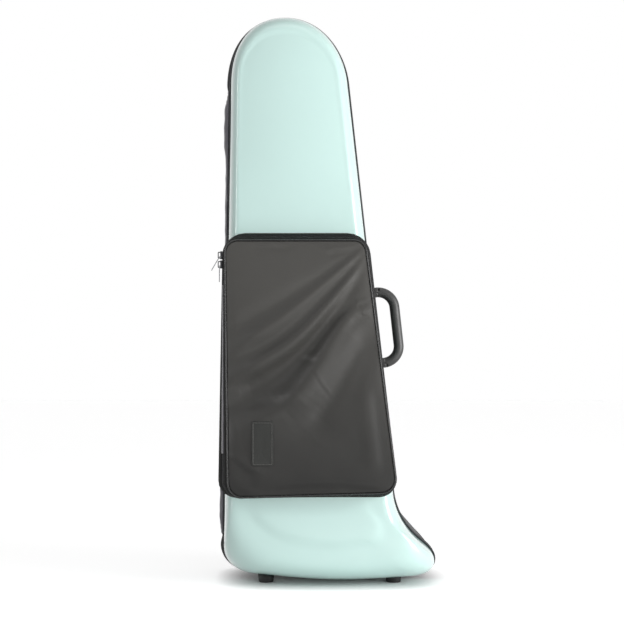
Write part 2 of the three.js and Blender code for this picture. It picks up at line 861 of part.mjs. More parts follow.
// A tube of round section along a flat line in a seat's X and Z
function tube(line, radius, sides, closed) {
  const out = outwards(line, closed);
  const rings = line.map((p, i) =>
    Array.from({ length: sides }, (_, s) => {
      const angle = (2 * Math.PI * s) / sides;
      const away = radius * Math.cos(angle);
      return space(p.x + out[i].x * away, radius * Math.sin(angle), p.y + out[i].y * away);
    }),
  );
  if (closed) return loft(rings);
  let cursor = 0;
  return loft(rings, () => {
    const angle = (2 * Math.PI * (cursor++ % sides)) / sides;
    return flat(Math.cos(angle), Math.sin(angle));
  });
}

// Handle, its end plates, bolts and the plate inside the wall
const plateLow = seam + seam;
const plateTop = plateLow + basePlateThick;
function handleLine() {
  const legs = plateTop + seam;
  const bends = [1, -1].map((side) =>
    Array.from({ length: handleBendCount + 1 }, (_, i) => {
      const angle = ((Math.PI / 2) * i) / handleBendCount;
      const x = handleSpan / 2 - handleBend + handleBend * Math.cos(angle);
      return flat(side * x, handleReach - handleBend + handleBend * Math.sin(angle));
    }),
  );
  return [flat(handleSpan / 2, legs), ...bends[0], ...bends[1].reverse(), flat(-handleSpan / 2, legs)];
}
const boltLow = backingLow - seam;
const boltTop = handleReach - handleBend;
const shaftHole = (share) =>
  box(
    space(share * handleSpan - boltRadius - seam, -boltRadius - seam, 0),
    space(share * handleSpan + boltRadius + seam, boltRadius + seam, boltTop + seam),
  );
add(
  "handle_grip",
  cut(tube(handleLine(), handleRadius, handleSides, false), ...boltShares.map(shaftHole)),
  "handle",
  handleGroup,
);
const plateShape = () =>
  roundedShape(
    -basePlateLength / 2,
    basePlateLength / 2,
    -basePlateWidth / 2,
    basePlateWidth / 2,
    basePlateWidth / 3,
    wellSteps,
  );
["upper", "lower"].forEach((name, i) => {
  const place = boltShares[i] * handleSpan;
  const plate = slab(plateShape(), basePlateThick).translate(place, 0, plateLow);
  add("handle_plate_" + name, cut(plate, boltHole(boltShares[i])), "handle", handleGroup);
  const head = round(boltHeadRadius, boltHeadHeight, boltSides)
    .rotateX(Math.PI / 2)
    .translate(place, 0, boltLow - boltHeadHeight / 2);
  const shaftLength = boltTop - boltLow + seam;
  const shaft = round(boltRadius, shaftLength, boltSides)
    .rotateX(Math.PI / 2)
    .translate(place, 0, boltTop - shaftLength / 2);
  add("handle_bolt_" + name, join(head, shaft), "steel", handleGroup);
});
const backingPlate = box(
  space(-backingLength / 2, -backingWidth / 2, backingLow),
  space(backingLength / 2, backingWidth / 2, backingTop),
);
add("handle_backing_plate", cut(backingPlate, ...boltShares.map(boltHole)), "steel", handleGroup);

// Webbing tabs on the back, each with a loop round the straight bar of its ring
const backSlope = (backDepthHigh - backDepthLow) / (highStation - lowStation);
const backDown = space(0, -backSlope, -1);
const backOut = space(0, 1, -backSlope);
const loopRadius = ringWireRadius + tabRoom + tabLoopThick;
function tabBody() {
  const shape = new THREE.Shape();
  const outer = Array.from({ length: tabLoopSteps + 1 }, (_, i) => {
    const angle = -Math.PI / 2 + (Math.PI * i) / tabLoopSteps;
    return flat(loopRadius * Math.cos(angle), loopRadius + loopRadius * Math.sin(angle));
  });
  shape.setFromPoints([
    flat(-tabLength, 0),
    ...outer,
    flat(-loopRadius - tabSlope, tabThick),
    flat(-tabLength, tabThick),
  ]);
  const hole = Array.from({ length: tabLoopSteps }, (_, i) => {
    const angle = (2 * Math.PI * i) / tabLoopSteps;
    const room = ringWireRadius + tabRoom;
    return flat(room * Math.cos(angle), loopRadius + room * Math.sin(angle));
  });
  shape.holes.push(new THREE.Path().setFromPoints(hole));
  return slab(shape, tabWidth).rotateX(Math.PI / 2).translate(0, tabWidth / 2, 0);
}
function ringBody() {
  const arc = Array.from({ length: ringArcCount + 1 }, (_, i) => {
    const angle = (Math.PI * i) / ringArcCount;
    return flat((ringWidth / 2) * Math.cos(angle), ringDrop * Math.sin(angle));
  });
  return tube([...arc].reverse(), ringWireRadius, ringSides, true).rotateZ(Math.PI / 2).rotateY(Math.PI / 2);
}
const ringPlaces = [
  { name: "upper_left", x: ringUpperX - ringUpperSpread / 2, z: ringUpperZ },
  { name: "upper_right", x: ringUpperX + ringUpperSpread / 2, z: ringUpperZ },
  { name: "lower_left", x: ringLowerX - ringLowerSpread / 2, z: ringLowerZ },
  { name: "lower_right", x: ringLowerX + ringLowerSpread / 2, z: ringLowerZ },
];
for (const place of ringPlaces) {
  const at = space(place.x, depthAt(back, place.z) + seam, place.z);
  const group = seat(at, backDown, backOut);
  add("ring_tab_" + place.name, tabBody(), "webbing", group);
  const hung = new THREE.Group();
  hung.position.set(0, 0, loopRadius);
  group.add(hung);
  add("d_ring_" + place.name, ringBody(), "zinc", hung);
}

// Corners of the bag's outline, each filleted by a true arc, between the ends of its hinge strip
function filletPoints(before, corner, after, radius) {
  const [a, b] = [before.clone().sub(corner).normalize(), after.clone().sub(corner).normalize()];
  const half = Math.acos(a.dot(b)) / 2;
  const centre = corner.clone().addScaledVector(a.clone().add(b).normalize(), radius / Math.sin(half));
  const start = corner.clone().addScaledVector(a, radius / Math.tan(half)).sub(centre);
  return Array.from({ length: bagCornerCount + 1 }, (_, i) =>
    start.clone().rotateAround(flat(0, 0), (-(Math.PI - 2 * half) * i) / bagCornerCount).add(centre),
  );
}
function bagLine(share, inset, topRadius, bottomRadius) {
  const rise = (z) => (z - bagBottomZ) / (bagTopZ - bagBottomZ);
  const leftIn = (z) => THREE.MathUtils.lerp(bagLowerLeftTaper, bagUpperLeftTaper, rise(z)) * share + inset;
  const rightIn = (z) => THREE.MathUtils.lerp(bagLowerRightTaper, bagUpperRightTaper, rise(z)) * share + inset;
  const left = (z) => flat(leftEdgeX(z) - bagLeftOver + leftIn(z), z);
  const right = (z) => flat(rightEdgeX(z) + bagRightOver - rightIn(z), z);
  const high = bagTopZ - bagTopTaper * share - inset;
  const leftLow = bagBottomZ + bagLeftBottomTaper * share + inset;
  const rightLow = bagBottomZ + bagRightBottomTaper * share + inset;
  const corners = [left(leftLow), left(high), right(high), right(rightLow)];
  const radii = [bottomRadius, topRadius, topRadius, bottomRadius];
  const arcs = corners.map((c, i) => filletPoints(corners[(i + 3) % 4], c, corners[(i + 1) % 4], radii[i]));
  return [left(bagStripHighZ), ...arcs.slice(1).flat(), ...arcs[0], left(bagStripLowZ)];
}
const bagBase = bagLine(0, 0, bagTopRadius, bagBottomRadius);
const bagFace = bagLine(1, 0, bagFaceTopRadius, bagFaceBottomRadius);
const bagOut = outwards(bagBase);
const bagStripIndexes = [bagBase.length - 1, 0];

// A point of the bag's side wall, by its place round the bag, its height over the lid and its offset outwards
function bagPoint(i, height, away) {
  const p = mix(bagBase[i], bagFace[i], height / bagDepth).addScaledVector(bagOut[i], away);
  return facePoint(p, height);
}
function bagBand(profile, closed) {
  const rings = bagBase.map((_, i) => profile.map(([away, height]) => bagPoint(i, height, away)));
  return band(rings, profile, closed);
}
const wallBand = (low, high, thick) => [
  [0, low],
  [0, high],
  [-thick, high],
  [-thick, low],
];

// The bag's stiff back hugs the lid's rounded edges
const bagBackBlock = loft(
  [bagBase.map((p) => facePoint(p, -bagHug)), bagBase.map((p) => facePoint(p, bagBackThick))],
  flatFront,
);
add("bag_back", cut(bagBackBlock, filled(lid, -seam, outerRingCount)), "leather");

const zipHeight = bagDepth * bagZipShare;
const rearWallTop = zipHeight - bagTapeWidth - seam;
const frontWallLow = zipHeight + bagTapeWidth + seam;
const frontWallTop = bagDepth - bagPipe * 2 - seam;
const rearWall = wallBand(bagBackThick + seam, rearWallTop, bagWallThick);
const frontWall = wallBand(frontWallLow, frontWallTop, bagWallThick);
add("bag_rear_wall", bagBand(rearWall, true), "leather");
add("bag_front_wall", bagBand(frontWall, true), "leather");

// Zip tapes of the bag, with the coil along their meeting edges, and the strip it hinges on
const coilRise = coilWidth / 2;
function bagTape(edge, coil, far) {
  return [
    [-bagWallThick, edge],
    [coilProud, edge],
    [coilProud, coil],
    [-tapeInset, coil],
    [-tapeInset, far],
    [-bagWallThick, far],
  ];
}
add(
  "bag_rear_zip_tape",
  bagBand(bagTape(zipHeight - seam / 2, zipHeight - coilRise, zipHeight - bagTapeWidth), false),
  "tape",
);
add(
  "bag_front_zip_tape",
  bagBand(bagTape(zipHeight + seam / 2, zipHeight + coilRise, zipHeight + bagTapeWidth), false),
  "tape",
);
function bagStripBand(near, far) {
  return [
    [0, near],
    [-bagStripThick, near],
    [-bagStripThick, far],
    [0, far],
  ];
}
function bagStrip(near, far) {
  const profile = bagStripBand(near, far);
  const ends = bagStripIndexes.map((i) => profile.map(([away, height]) => bagPoint(i, height, away)));
  const way = ends[1][0].clone().sub(ends[0][0]).normalize();
  const drawn = ends.map((ring, n) => ring.map((q) => q.addScaledVector(way, n === 0 ? seam : -seam)));
  return band(drawn, profile, false);
}
add("bag_strip_rear", bagStrip(zipHeight - seam / 2, zipHeight - bagTapeWidth), "strip");
add("bag_strip_front", bagStrip(zipHeight + seam / 2, zipHeight + bagTapeWidth), "strip");

// Piping round both edges of the bag, and the crowned front panel
function pipeProfile(away, height) {
  return Array.from({ length: bagPipeSides }, (_, i) => {
    const angle = (2 * Math.PI * (i + 0.5)) / bagPipeSides;
    return [away + bagPipe * Math.cos(angle), height + bagPipe * Math.sin(angle)];
  });
}
add("bag_front_piping", bagBand(pipeProfile(-bagPipe, bagDepth - bagPipe), true), "trim");
const panelEdge = bagPipe * 2 + seam;
const panelLine = bagLine(1, panelEdge, bagFaceTopRadius - panelEdge, bagFaceBottomRadius - panelEdge);
const crownLine = bagLine(1, bagCrownInset, bagFaceTopRadius / 2, bagFaceTopRadius / 2);
add(
  "bag_front_panel",
  loft(
    [
      panelLine.map((p) => facePoint(p, bagDepth - bagPanelThick)),
      panelLine.map((p) => facePoint(p, bagDepth)),
      crownLine.map((p) => facePoint(p, bagDepth + bagCrown)),
    ],
    flatFront,
  ),
  "leather",
);
const patchShape = roundedShape(
  patchX - patchWidth / 2,
  patchX + patchWidth / 2,
  patchZ - patchHeight / 2,
  patchZ + patchHeight / 2,
  patchRadius,
  patchSteps,
);
const patchLow = bagDepth + bagCrown + seam;
add("bag_patch", prism(patchShape.getPoints(), patchLow, patchLow + patchThick), "leather");

// Zip sliders, each a body with a bridge, and the pulls that hang in them
const sliderLow = coilProud + sliderRoom;
const sliderTop = sliderLow + sliderThick;
const bridgeTop = sliderTop + bridgeRoom + bridgeBar;
const pullAxis = { x: bridgeSpan / 2 - bridgeLeg - pullThick, z: sliderTop + bridgeRoom / 2 };
function sliderBody() {
  const [half, side] = [sliderLength / 2, sliderWidth / 2];
  const plan = roundedShape(-half, half, -side, side, side / 2, patchSteps);
  const body = slab(plan, sliderThick).translate(0, 0, sliderLow);
  const [end, inner, low] = [bridgeSpan / 2, bridgeSpan / 2 - bridgeLeg, sliderTop - seam];
  const arch = new THREE.Shape().setFromPoints([
    flat(-end, low),
    flat(-inner, low),
    flat(-inner, sliderTop + bridgeRoom),
    flat(inner, sliderTop + bridgeRoom),
    flat(inner, low),
    flat(end, low),
    flat(end, bridgeTop - bridgeBar / 2),
    flat(inner, bridgeTop),
    flat(-inner, bridgeTop),
    flat(-end, bridgeTop - bridgeBar / 2),
  ]);
  const bridge = slab(arch, bridgeWidth).rotateX(Math.PI / 2).translate(0, bridgeWidth / 2, 0);
  return join(body, bridge);
}
function pullBody() {
  const half = pullThick / 2;
  const tip = (pullWidth / 2) * pullTipShare;
  const shape = new THREE.Shape().setFromPoints([
    flat(-half, -pullWidth / 2),
    flat(pullLength - pullWidth, -pullWidth / 2),
    flat(pullLength, -tip),
    flat(pullLength, tip),
    flat(pullLength - pullWidth, pullWidth / 2),
    flat(-half, pullWidth / 2),
  ]);
  const room = bridgeWidth / 2 + seam;
  const window = [
    flat(half, -room),
    flat(half, room),
    flat(half + pullWindow, room),
    flat(half + pullWindow, -room),
  ];
  shape.holes.push(new THREE.Path().setFromPoints(window));
  return slab(shape, pullThick).translate(0, 0, -half);
}
function slider(prefix, at, along, out, tilt) {
  const group = seat(at, along, out);
  add(prefix + "_slider", sliderBody(), "zinc", group);
  const hung = new THREE.Group();
  hung.position.set(pullAxis.x, 0, pullAxis.z);
  hung.rotation.y = -THREE.MathUtils.degToRad(tilt);
  group.add(hung);
  add(prefix + "_pull", pullBody(), "steel", hung);
}
const rightAt = (z) => space(rightEdgeX(z), 0, z);
slider("case_upper", rightAt(caseSliderZ), rightWaySpace, rightOutSpace, 0);
slider("case_lower", rightAt(caseSliderZ - caseSliderStep), rightWaySpace, rightOutSpace, 0);

// The bag's sliders park one above the other under its upper left corner
function bagLeftInset(z) {
  return THREE.MathUtils.mapLinear(z, bagBottomZ, bagTopZ, bagLowerLeftTaper, bagUpperLeftTaper);
}
function bagLeftAt(z) {
  const x = leftEdgeX(z) - bagLeftOver + (bagLeftInset(z) * zipHeight) / bagDepth;
  return facePoint(flat(x, z), zipHeight);
}
const bagWallWay = space(bagLeftInset(bagSliderZ), -bagDepth, 0).normalize();
const leftDown = bagLeftAt(bagStripLowZ).sub(bagLeftAt(bagStripHighZ)).normalize();
const bagLeftOut = leftDown.clone().cross(bagWallWay).normalize();
const bagSliderStep = sliderLength + sliderGap;
slider("bag_upper", bagLeftAt(bagSliderZ), leftDown, bagLeftOut, bagPullTilt);
slider("bag_lower", bagLeftAt(bagSliderZ - bagSliderStep), leftDown, bagLeftOut, 0);

// The origin lies on the floor under the middle of the whole case
const extent = new THREE.Box3().setFromObject(root);
const middle = extent.getCenter(new THREE.Vector3());
root.position.set(-middle.x, -middle.y, -extent.min.z);

export default root;
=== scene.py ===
import math

import bmesh
import bpy
import numpy as np
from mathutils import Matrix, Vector, noise
from mathutils.bvhtree import BVHTree


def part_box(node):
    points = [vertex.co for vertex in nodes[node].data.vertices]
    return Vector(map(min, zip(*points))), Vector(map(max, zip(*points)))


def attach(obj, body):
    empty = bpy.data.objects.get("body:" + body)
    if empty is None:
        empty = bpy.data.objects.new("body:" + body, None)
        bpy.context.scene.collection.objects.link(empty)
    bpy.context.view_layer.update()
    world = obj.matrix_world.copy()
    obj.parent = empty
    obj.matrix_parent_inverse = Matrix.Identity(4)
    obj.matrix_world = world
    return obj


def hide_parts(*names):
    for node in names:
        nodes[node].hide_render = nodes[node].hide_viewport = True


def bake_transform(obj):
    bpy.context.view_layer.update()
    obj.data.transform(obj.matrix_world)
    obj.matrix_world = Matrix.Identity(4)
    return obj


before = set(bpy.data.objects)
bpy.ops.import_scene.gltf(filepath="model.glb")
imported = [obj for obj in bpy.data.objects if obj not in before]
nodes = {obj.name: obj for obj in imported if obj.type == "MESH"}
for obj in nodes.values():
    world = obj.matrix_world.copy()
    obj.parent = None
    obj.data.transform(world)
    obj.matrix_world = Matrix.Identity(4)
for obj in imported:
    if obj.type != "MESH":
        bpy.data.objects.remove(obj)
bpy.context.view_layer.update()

scene = bpy.context.scene

# Outline of the rim, in metres from the foot of its left edge
CASE_HEIGHT = 0.941
CROWN_X = 0.102
TOP_WIDTH = 0.195
SHOULDER_DROP = 0.110
LEFT_LEAN = 0.011
CORNER_HEIGHT = 0.058
CORNER_LENGTH = 0.045
CORNER_LIFT = 0.010
NECK = (0.2815, 0.1485)
FLARE = (0.324, 0.069)
LIP = (0.351, 0.034)
UNDER_X = 0.314
UNDER_LIFT = 0.005
KEEL_X = 0.190
KEEL_Z = 0.005

# Front face, as insets from the rim
SIDE_INSET = 0.020
CROWN_INSET = 0.034
FACE_CORNER = (0.050, 0.048, 0.107)
FACE_NECK = (0.024, 0.022)
FACE_FLARE = (0.056, 0.043)
FACE_LIP = (0.073, 0.058)
FACE_UNDER = (0.056, 0.053)
FACE_KEEL_RISE = 0.046

# Depths of the halves
LOW_STATION = 0.060
HIGH_STATION = 0.880
LID_DEPTHS = (0.128, 0.078)
BACK_DEPTHS = (0.142, 0.088)
NECK_SWELL = 0.0045
HINGE_SWELL = 0.008
WALL = 0.003
EDGE_POWER_SHARE = 0.72
SEAM = 0.0003
RIM_Y = 0.009
TRIM_WIDTH = 0.005
TRIM_THICK = 0.003
TRIM_LIP = 0.0015
TRIM_PROUD = 0.0050
ARC_SHARE = 0.39
CROWN_SHARES = (0.43, 0.38)
EASY_SHARE = 0.34
KEEL_SLOPE = 0.08
FLARE_SLOPE = 0.85
STRIP_SHARES = (0.018, 0.99)

# Fineness of the lofts
FINE = 9
LEFT_COUNT = 60
OUTER_RINGS = 44
INNER_RINGS = 14
CROWN_RINGS = 24

# How far the faces' middles stand out, and the heights over which that grows, negative where downwards
PLATEAU = 0.0030
PLATEAU_RUN = (0.012, 0.034)
PLATEAU_GROWS = (-0.150, -0.115)
FACE_CROWN = 0.0016
UPPER_CROWN = 0.0055
UPPER_GROWS = (0.59, 0.72)
LOWER_CROWN = 0.0040
LOWER_GROWS = (-0.15, -0.07)

# Bag
BAG_TOP = 0.578
BAG_BOTTOM = 0.149
BAG_LEFT_OVER = 0.007
BAG_RIGHT_OVER = 0.0045
BAG_DEPTH = 0.045
BAG_LEFT_TAPERS = (0.017, 0.004)
BAG_RIGHT_TAPERS = (0.0, 0.007)
BAG_TOP_TAPER = 0.012
BAG_BOTTOM_TAPERS = (0.002, 0.010)
BAG_RADII = (0.027, 0.038)
BAG_FACE_RADII = (0.025, 0.022)
BAG_ZIP = 0.0225
BAG_TAPE = 0.005
BAG_PIPE = 0.0013
BAG_PIPE_EDGE = 0.0029
BAG_BACK = 0.003
BAG_STRIP = (0.221, 0.493)

FOOT_X = (0.070, 0.282)
SCREW_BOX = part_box("foot_screw_front_left")
LEFT = (SCREW_BOX[0].x + SCREW_BOX[1].x) / 2 - FOOT_X[0]
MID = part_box("lid_shell")[1].y + RIM_Y


def clamped(value):
    return max(0.0, min(1.0, value))


# ---- Plane geometry, with points as (x, z)
def flat(x, z):
    return Vector((x, z))


def knot(x, z, way_x, way_z):
    return flat(x, z), flat(way_x, way_z).normalized()


def bezier(a, b, count, share):
    reach = (b[0] - a[0]).length * share
    p = [a[0], a[0] + a[1] * reach, b[0] - b[1] * reach, b[0]]
    points = []
    for i in range(count):
        t = i / count
        s = 1 - t
        points.append(s ** 3 * p[0] + 3 * s * s * t * p[1] + 3 * s * t * t * p[2] + t ** 3 * p[3])
    return points


def straight(a, b, count):
    return [a.lerp(b, i / count) for i in range(count)]


def ways_along(points, closed=False):
    """The direction of a line at each of its points."""
    last = len(points) - 1
    ways = []
    for i in range(last + 1):
        before = points[i - 1] if closed or i else points[i]
        after = points[(i + 1) % len(points)] if closed or i < last else points[i]
        ways.append((after - before).normalized())
    return ways


def outwards(points, closed=True):
    return [flat(-way.y, way.x) for way in ways_along(points, closed)]


def resample(points, step):
    """The line at even steps, keeping both ends."""
    lengths = [0.0]
    for a, b in zip(points, points[1:]):
        lengths.append(lengths[-1] + (b - a).length)
    count = max(1, round(lengths[-1] / step))
    result = []
    k = 0
    for i in range(count + 1):
        at = lengths[-1] * i / count
        while k < len(points) - 2 and lengths[k + 1] < at:
            k += 1
        span = max(lengths[k + 1] - lengths[k], 1e-9)
        result.append(points[k].lerp(points[k + 1], (at - lengths[k]) / span))
    return result


SHOULDER_Z = CASE_HEIGHT - SHOULDER_DROP
RIGHT_SHOULDER_X = LEFT_LEAN + TOP_WIDTH
LEFT_WAY = (LEFT_LEAN, SHOULDER_Z - CORNER_HEIGHT)
RIGHT_WAY = (NECK[0] - RIGHT_SHOULDER_X, NECK[1] - SHOULDER_Z)
# Knots round the case: place on the rim, inset of the face there, and the line's way on rim and face
KNOTS = [
    ((0, CORNER_HEIGHT), (SIDE_INSET, FACE_CORNER[2]), LEFT_WAY, LEFT_WAY),
    ((LEFT_LEAN, SHOULDER_Z), (SIDE_INSET, 0), LEFT_WAY, LEFT_WAY),
    ((CROWN_X, CASE_HEIGHT), (0, -CROWN_INSET), (1, 0), (1, 0)),
    ((RIGHT_SHOULDER_X, SHOULDER_Z), (-SIDE_INSET, 0), RIGHT_WAY, RIGHT_WAY),
    (NECK, (-FACE_NECK[0], FACE_NECK[1]), RIGHT_WAY, RIGHT_WAY),
    (FLARE, (-FACE_FLARE[0], FACE_FLARE[1]), (1, -FLARE_SLOPE), (1, -1 / FLARE_SLOPE)),
    (LIP, (-FACE_LIP[0], FACE_LIP[1]), (0, -1), (0, -1)),
    ((UNDER_X, KEEL_Z + UNDER_LIFT), (-FACE_UNDER[0], FACE_UNDER[1]), (-1, -KEEL_SLOPE), (-1, -KEEL_SLOPE)),
    ((KEEL_X, KEEL_Z), (0, FACE_KEEL_RISE), (-1, 0), (-1, 0)),
    ((CORNER_LENGTH, KEEL_Z + CORNER_LIFT), FACE_CORNER[:2], (-1, KEEL_SLOPE), (-1, FLARE_SLOPE / 2)),
]
RIM_KNOTS = [knot(x, z, *way) for (x, z), inset, way, face_way in KNOTS]
FACE_KNOTS = [knot(x + inset_x, z + inset_z, *way) for (x, z), (inset_x, inset_z), rim_way, way in KNOTS]
STRETCHES = [(7, CROWN_SHARES[0]), (7, CROWN_SHARES[1]), (4, None), (6, EASY_SHARE), (4, EASY_SHARE)]
STRETCHES += [(5, ARC_SHARE), (4, EASY_SHARE), (4, EASY_SHARE), (6, ARC_SHARE)]
NECK_STRETCH = 3


def outline(knots):
    """Points clockwise from the foot of the left edge."""
    points = straight(knots[0][0], knots[1][0], LEFT_COUNT)
    for i, (steps, share) in enumerate(STRETCHES):
        a, b = knots[i + 1], knots[(i + 2) % len(knots)]
        count = steps * FINE
        points += straight(a[0], b[0], count) if share is None else bezier(a, b, count, share)
    return points


def neck_shares():
    """How far along the neck, down to the flare's end, each outline point lies."""
    start = LEFT_COUNT + FINE * sum(steps for steps, share in STRETCHES[:NECK_STRETCH])
    span = STRETCHES[NECK_STRETCH][0] + STRETCHES[NECK_STRETCH + 1][0]
    shares = [(i - start) / FINE / span for i in range(len(RIM))]
    return [share if 0 <= share < 1 else 0.0 for share in shares]


def hinge_shares():
    """How fully each outline point lies beside the hinge."""
    shares = []
    for i in range(len(RIM)):
        past_shoulder = (i - LEFT_COUNT) / (STRETCHES[0][0] * FINE)
        before_corner = (len(RIM) - i) / (STRETCHES[-1][0] * FINE)
        shares.append(1 - clamped(min(past_shoulder, before_corner)))
    return shares


RIM = outline(RIM_KNOTS)
FACE = outline(FACE_KNOTS)
ALONG_NECK = neck_shares()
BESIDE_HINGE = hinge_shares()
LID = {"side": -1, "depths": LID_DEPTHS, "swells": 0.0, "body": "lid"}
BACK = {"side": 1, "depths": BACK_DEPTHS, "swells": 1.0, "body": "back_half"}
TRIM_SHARE = (TRIM_WIDTH + TRIM_THICK) / BACK_DEPTHS[0]


def depth_at(half, z):
    low, high = half["depths"]
    return low + (high - low) * (z - LOW_STATION) / (HIGH_STATION - LOW_STATION)


def left_x(z):
    return LEFT_LEAN * (z - CORNER_HEIGHT) / (SHOULDER_Z - CORNER_HEIGHT)


def right_x(z):
    return NECK[0] + (RIGHT_SHOULDER_X - NECK[0]) * (z - NECK[1]) / (SHOULDER_Z - NECK[1])


def place(x, y, z):
    """A point of the case in the frame."""
    return Vector((x + LEFT, y + MID, z))


def skin(half, inset, count):
    """Rings of one skin from the face to the rim."""
    angles = [math.pi / 2 * (1 - r / count) for r in range(count)]
    angles += [math.asin(TRIM_SHARE ** (1 / EDGE_POWER_SHARE)), 0.0]
    rings = []
    for r, angle in enumerate(angles):
        in_share = 1.0 if r == 0 else 1 - math.cos(angle) ** EDGE_POWER_SHARE
        up_share = math.sin(angle) ** EDGE_POWER_SHARE
        side_share = max(0.0, (up_share - TRIM_SHARE) / (1 - TRIM_SHARE))
        line = [p.lerp(q, in_share) for p, q in zip(RIM, FACE)]
        ring = []
        for i, (p, out) in enumerate(zip(line, outwards(line))):
            swell = NECK_SWELL * math.sin(math.pi * ALONG_NECK[i]) ** 2
            swell += HINGE_SWELL * math.sin(math.pi / 2 * BESIDE_HINGE[i])
            bulge = half["swells"] * swell * math.sin(math.pi * side_share) ** 2
            q = p + out * (bulge - inset)
            face_z = FACE[i].y - out.y * inset
            deep = depth_at(half, q.y if r == 0 else face_z) - inset
            y = half["side"] * (RIM_Y + (deep - RIM_Y) * up_share)
            ring.append(place(q.x, y, q.y))
        rings.append(ring)
    return rings


SPINE_LOW = flat(0.140, 0.150)
SPINE_HIGH = flat(0.1055, 0.850)


def eased(value, low, high):
    t = clamped((value - low) / (high - low))
    return t * t * (3 - 2 * t)


def crown_at(z):
    """How far a face's middle stands out: least behind the bag, which lies flat on it."""
    upper = (UPPER_CROWN - FACE_CROWN) * eased(z, *UPPER_GROWS)
    lower = (LOWER_CROWN - FACE_CROWN) * eased(-z, *LOWER_GROWS)
    return FACE_CROWN + upper + lower


def crowned(half, edge, crown):
    """Rings from a face's edge in to its spine, rising to a crown as a share of the outer one."""
    rings = []
    for k in range(CROWN_RINGS, 0, -1):
        share = k / CROWN_RINGS
        ring = []
        for q in edge:
            spine = SPINE_LOW.lerp(SPINE_HIGH, clamped((q.z - SPINE_LOW.y) / (SPINE_HIGH.y - SPINE_LOW.y)))
            x = q.x + (spine.x + LEFT - q.x) * share
            z = q.z + (spine.y - q.z) * share
            rise = crown * crown_at(z) * (1 - (1 - share) ** 2)
            inset = math.hypot(x - q.x, z - q.z)
            rise += crown * PLATEAU * eased(inset, *PLATEAU_RUN) * eased(-z, *PLATEAU_GROWS)
            plane_y = half["side"] * (depth_at(half, z) + rise)
            plane_y += q.y - MID - half["side"] * depth_at(half, q.z)
            ring.append(Vector((x, MID + plane_y, z)))
        rings.append(ring)
    return rings


# ---- Meshes
def linked(name, data):
    """A new object of the scene."""
    obj = bpy.data.objects.new(name, data)
    scene.collection.objects.link(obj)
    return obj


def shade_smooth(mesh):
    mesh.polygons.foreach_set("use_smooth", [True] * len(mesh.polygons))


def mesh_object(name, verts, faces, look, uvs=None):
    mesh = bpy.data.meshes.new(name)
    mesh.from_pydata([tuple(v) for v in verts], [], faces)
    if uvs:
        layer = mesh.uv_layers.new(name="UVMap")
        layer.data.foreach_set("uv", [value for face in uvs for pair in face for value in pair])
    shade_smooth(mesh)
    mesh.materials.append(look.material)
    return linked(name, mesh)


def face_out(obj):
    shape = bmesh.new()
    shape.from_mesh(obj.data)
    bmesh.ops.recalc_face_normals(shape, faces=shape.faces)
    shape.to_mesh(obj.data)
    shape.free()
    return obj


def loft(name, rings, look, around=True, across=False, caps=False):
    """Quads between rings of points, closed around each ring and across from last to first as asked."""
    sides = len(rings[0])
    verts = [p for ring in rings for p in ring]
    faces, uvs = [], []
    us = [0.0]
    middle = rings[len(rings) // 2]
    for s in range(sides):
        us.append(us[-1] + (middle[(s + 1) % sides] - middle[s]).length)
    vs = [0.0]
    for r in range(len(rings)):
        vs.append(vs[-1] + (rings[(r + 1) % len(rings)][0] - rings[r][0]).length)
    for r in range(len(rings) if across else len(rings) - 1):
        n = (r + 1) % len(rings)
        for s in range(sides if around else sides - 1):
            t = (s + 1) % sides
            faces.append((r * sides + s, r * sides + t, n * sides + t, n * sides + s))
            uvs.append([(us[s], vs[r]), (us[s + 1], vs[r]), (us[s + 1], vs[r + 1]), (us[s], vs[r + 1])])
    if caps:
        for r in (0, len(rings) - 1):
            ids = [r * sides + s for s in range(sides)]
            faces.append(ids[::-1] if r == 0 else ids)
            uvs.append([(verts[i].x, verts[i].z) for i in faces[-1]])
    return face_out(mesh_object(name, verts, faces, look, uvs))


def circle(sides, turn=0.0):
    """Cosines and sines round a circle, turned by a share of a step."""
    angles = [2 * math.pi * (s + turn) / sides for s in range(sides)]
    return [(math.cos(angle), math.sin(angle)) for angle in angles]


def tube(name, points, radius, sides, look):
    """A round tube on a line of points, its section carried without twist."""
    ways = ways_along(points)
    side = ways[0].orthogonal().normalized()
    rings = []
    for p, way in zip(points, ways):
        side = (side - way * side.dot(way)).normalized()
        other = way.cross(side)
        rings.append([p + (side * c + other * s) * radius for c, s in circle(sides)])
    return loft(name, rings, look, caps=True)


def modified(obj, kind, **settings):
    """Applies one modifier to the mesh."""
    modifier = obj.modifiers.new(kind.title(), kind)
    for key, value in settings.items():
        setattr(modifier, key, value)
    graph = bpy.context.evaluated_depsgraph_get()
    mesh = bpy.data.meshes.new_from_object(obj.evaluated_get(graph))
    obj.modifiers.clear()
    old = obj.data
    obj.data = mesh
    bpy.data.meshes.remove(old)
    return obj


MERGE_WITHIN = 0.00002
FLAT_WITHIN = math.radians(1)
BEVEL_STEPS = 3
BEVEL_FROM = math.radians(28)


def cloth(name, rings, look, thick, offset):
    """A sheet between rings of points, given a thickness."""
    sheet = loft(name, rings, look, around=False)
    modified(sheet, "SOLIDIFY", thickness=thick, offset=offset)
    return face_out(sheet)


def copied(node, name, look):
    """A new object with a frame node's shape."""
    shape = bmesh.new()
    shape.from_mesh(nodes[node].data)
    bmesh.ops.remove_doubles(shape, verts=shape.verts, dist=MERGE_WITHIN)
    bmesh.ops.dissolve_limit(shape, angle_limit=FLAT_WITHIN, verts=shape.verts, edges=shape.edges)
    mesh = bpy.data.meshes.new(name)
    shape.to_mesh(mesh)
    shape.free()
    mesh.materials.append(look.material)
    return linked(name, mesh)


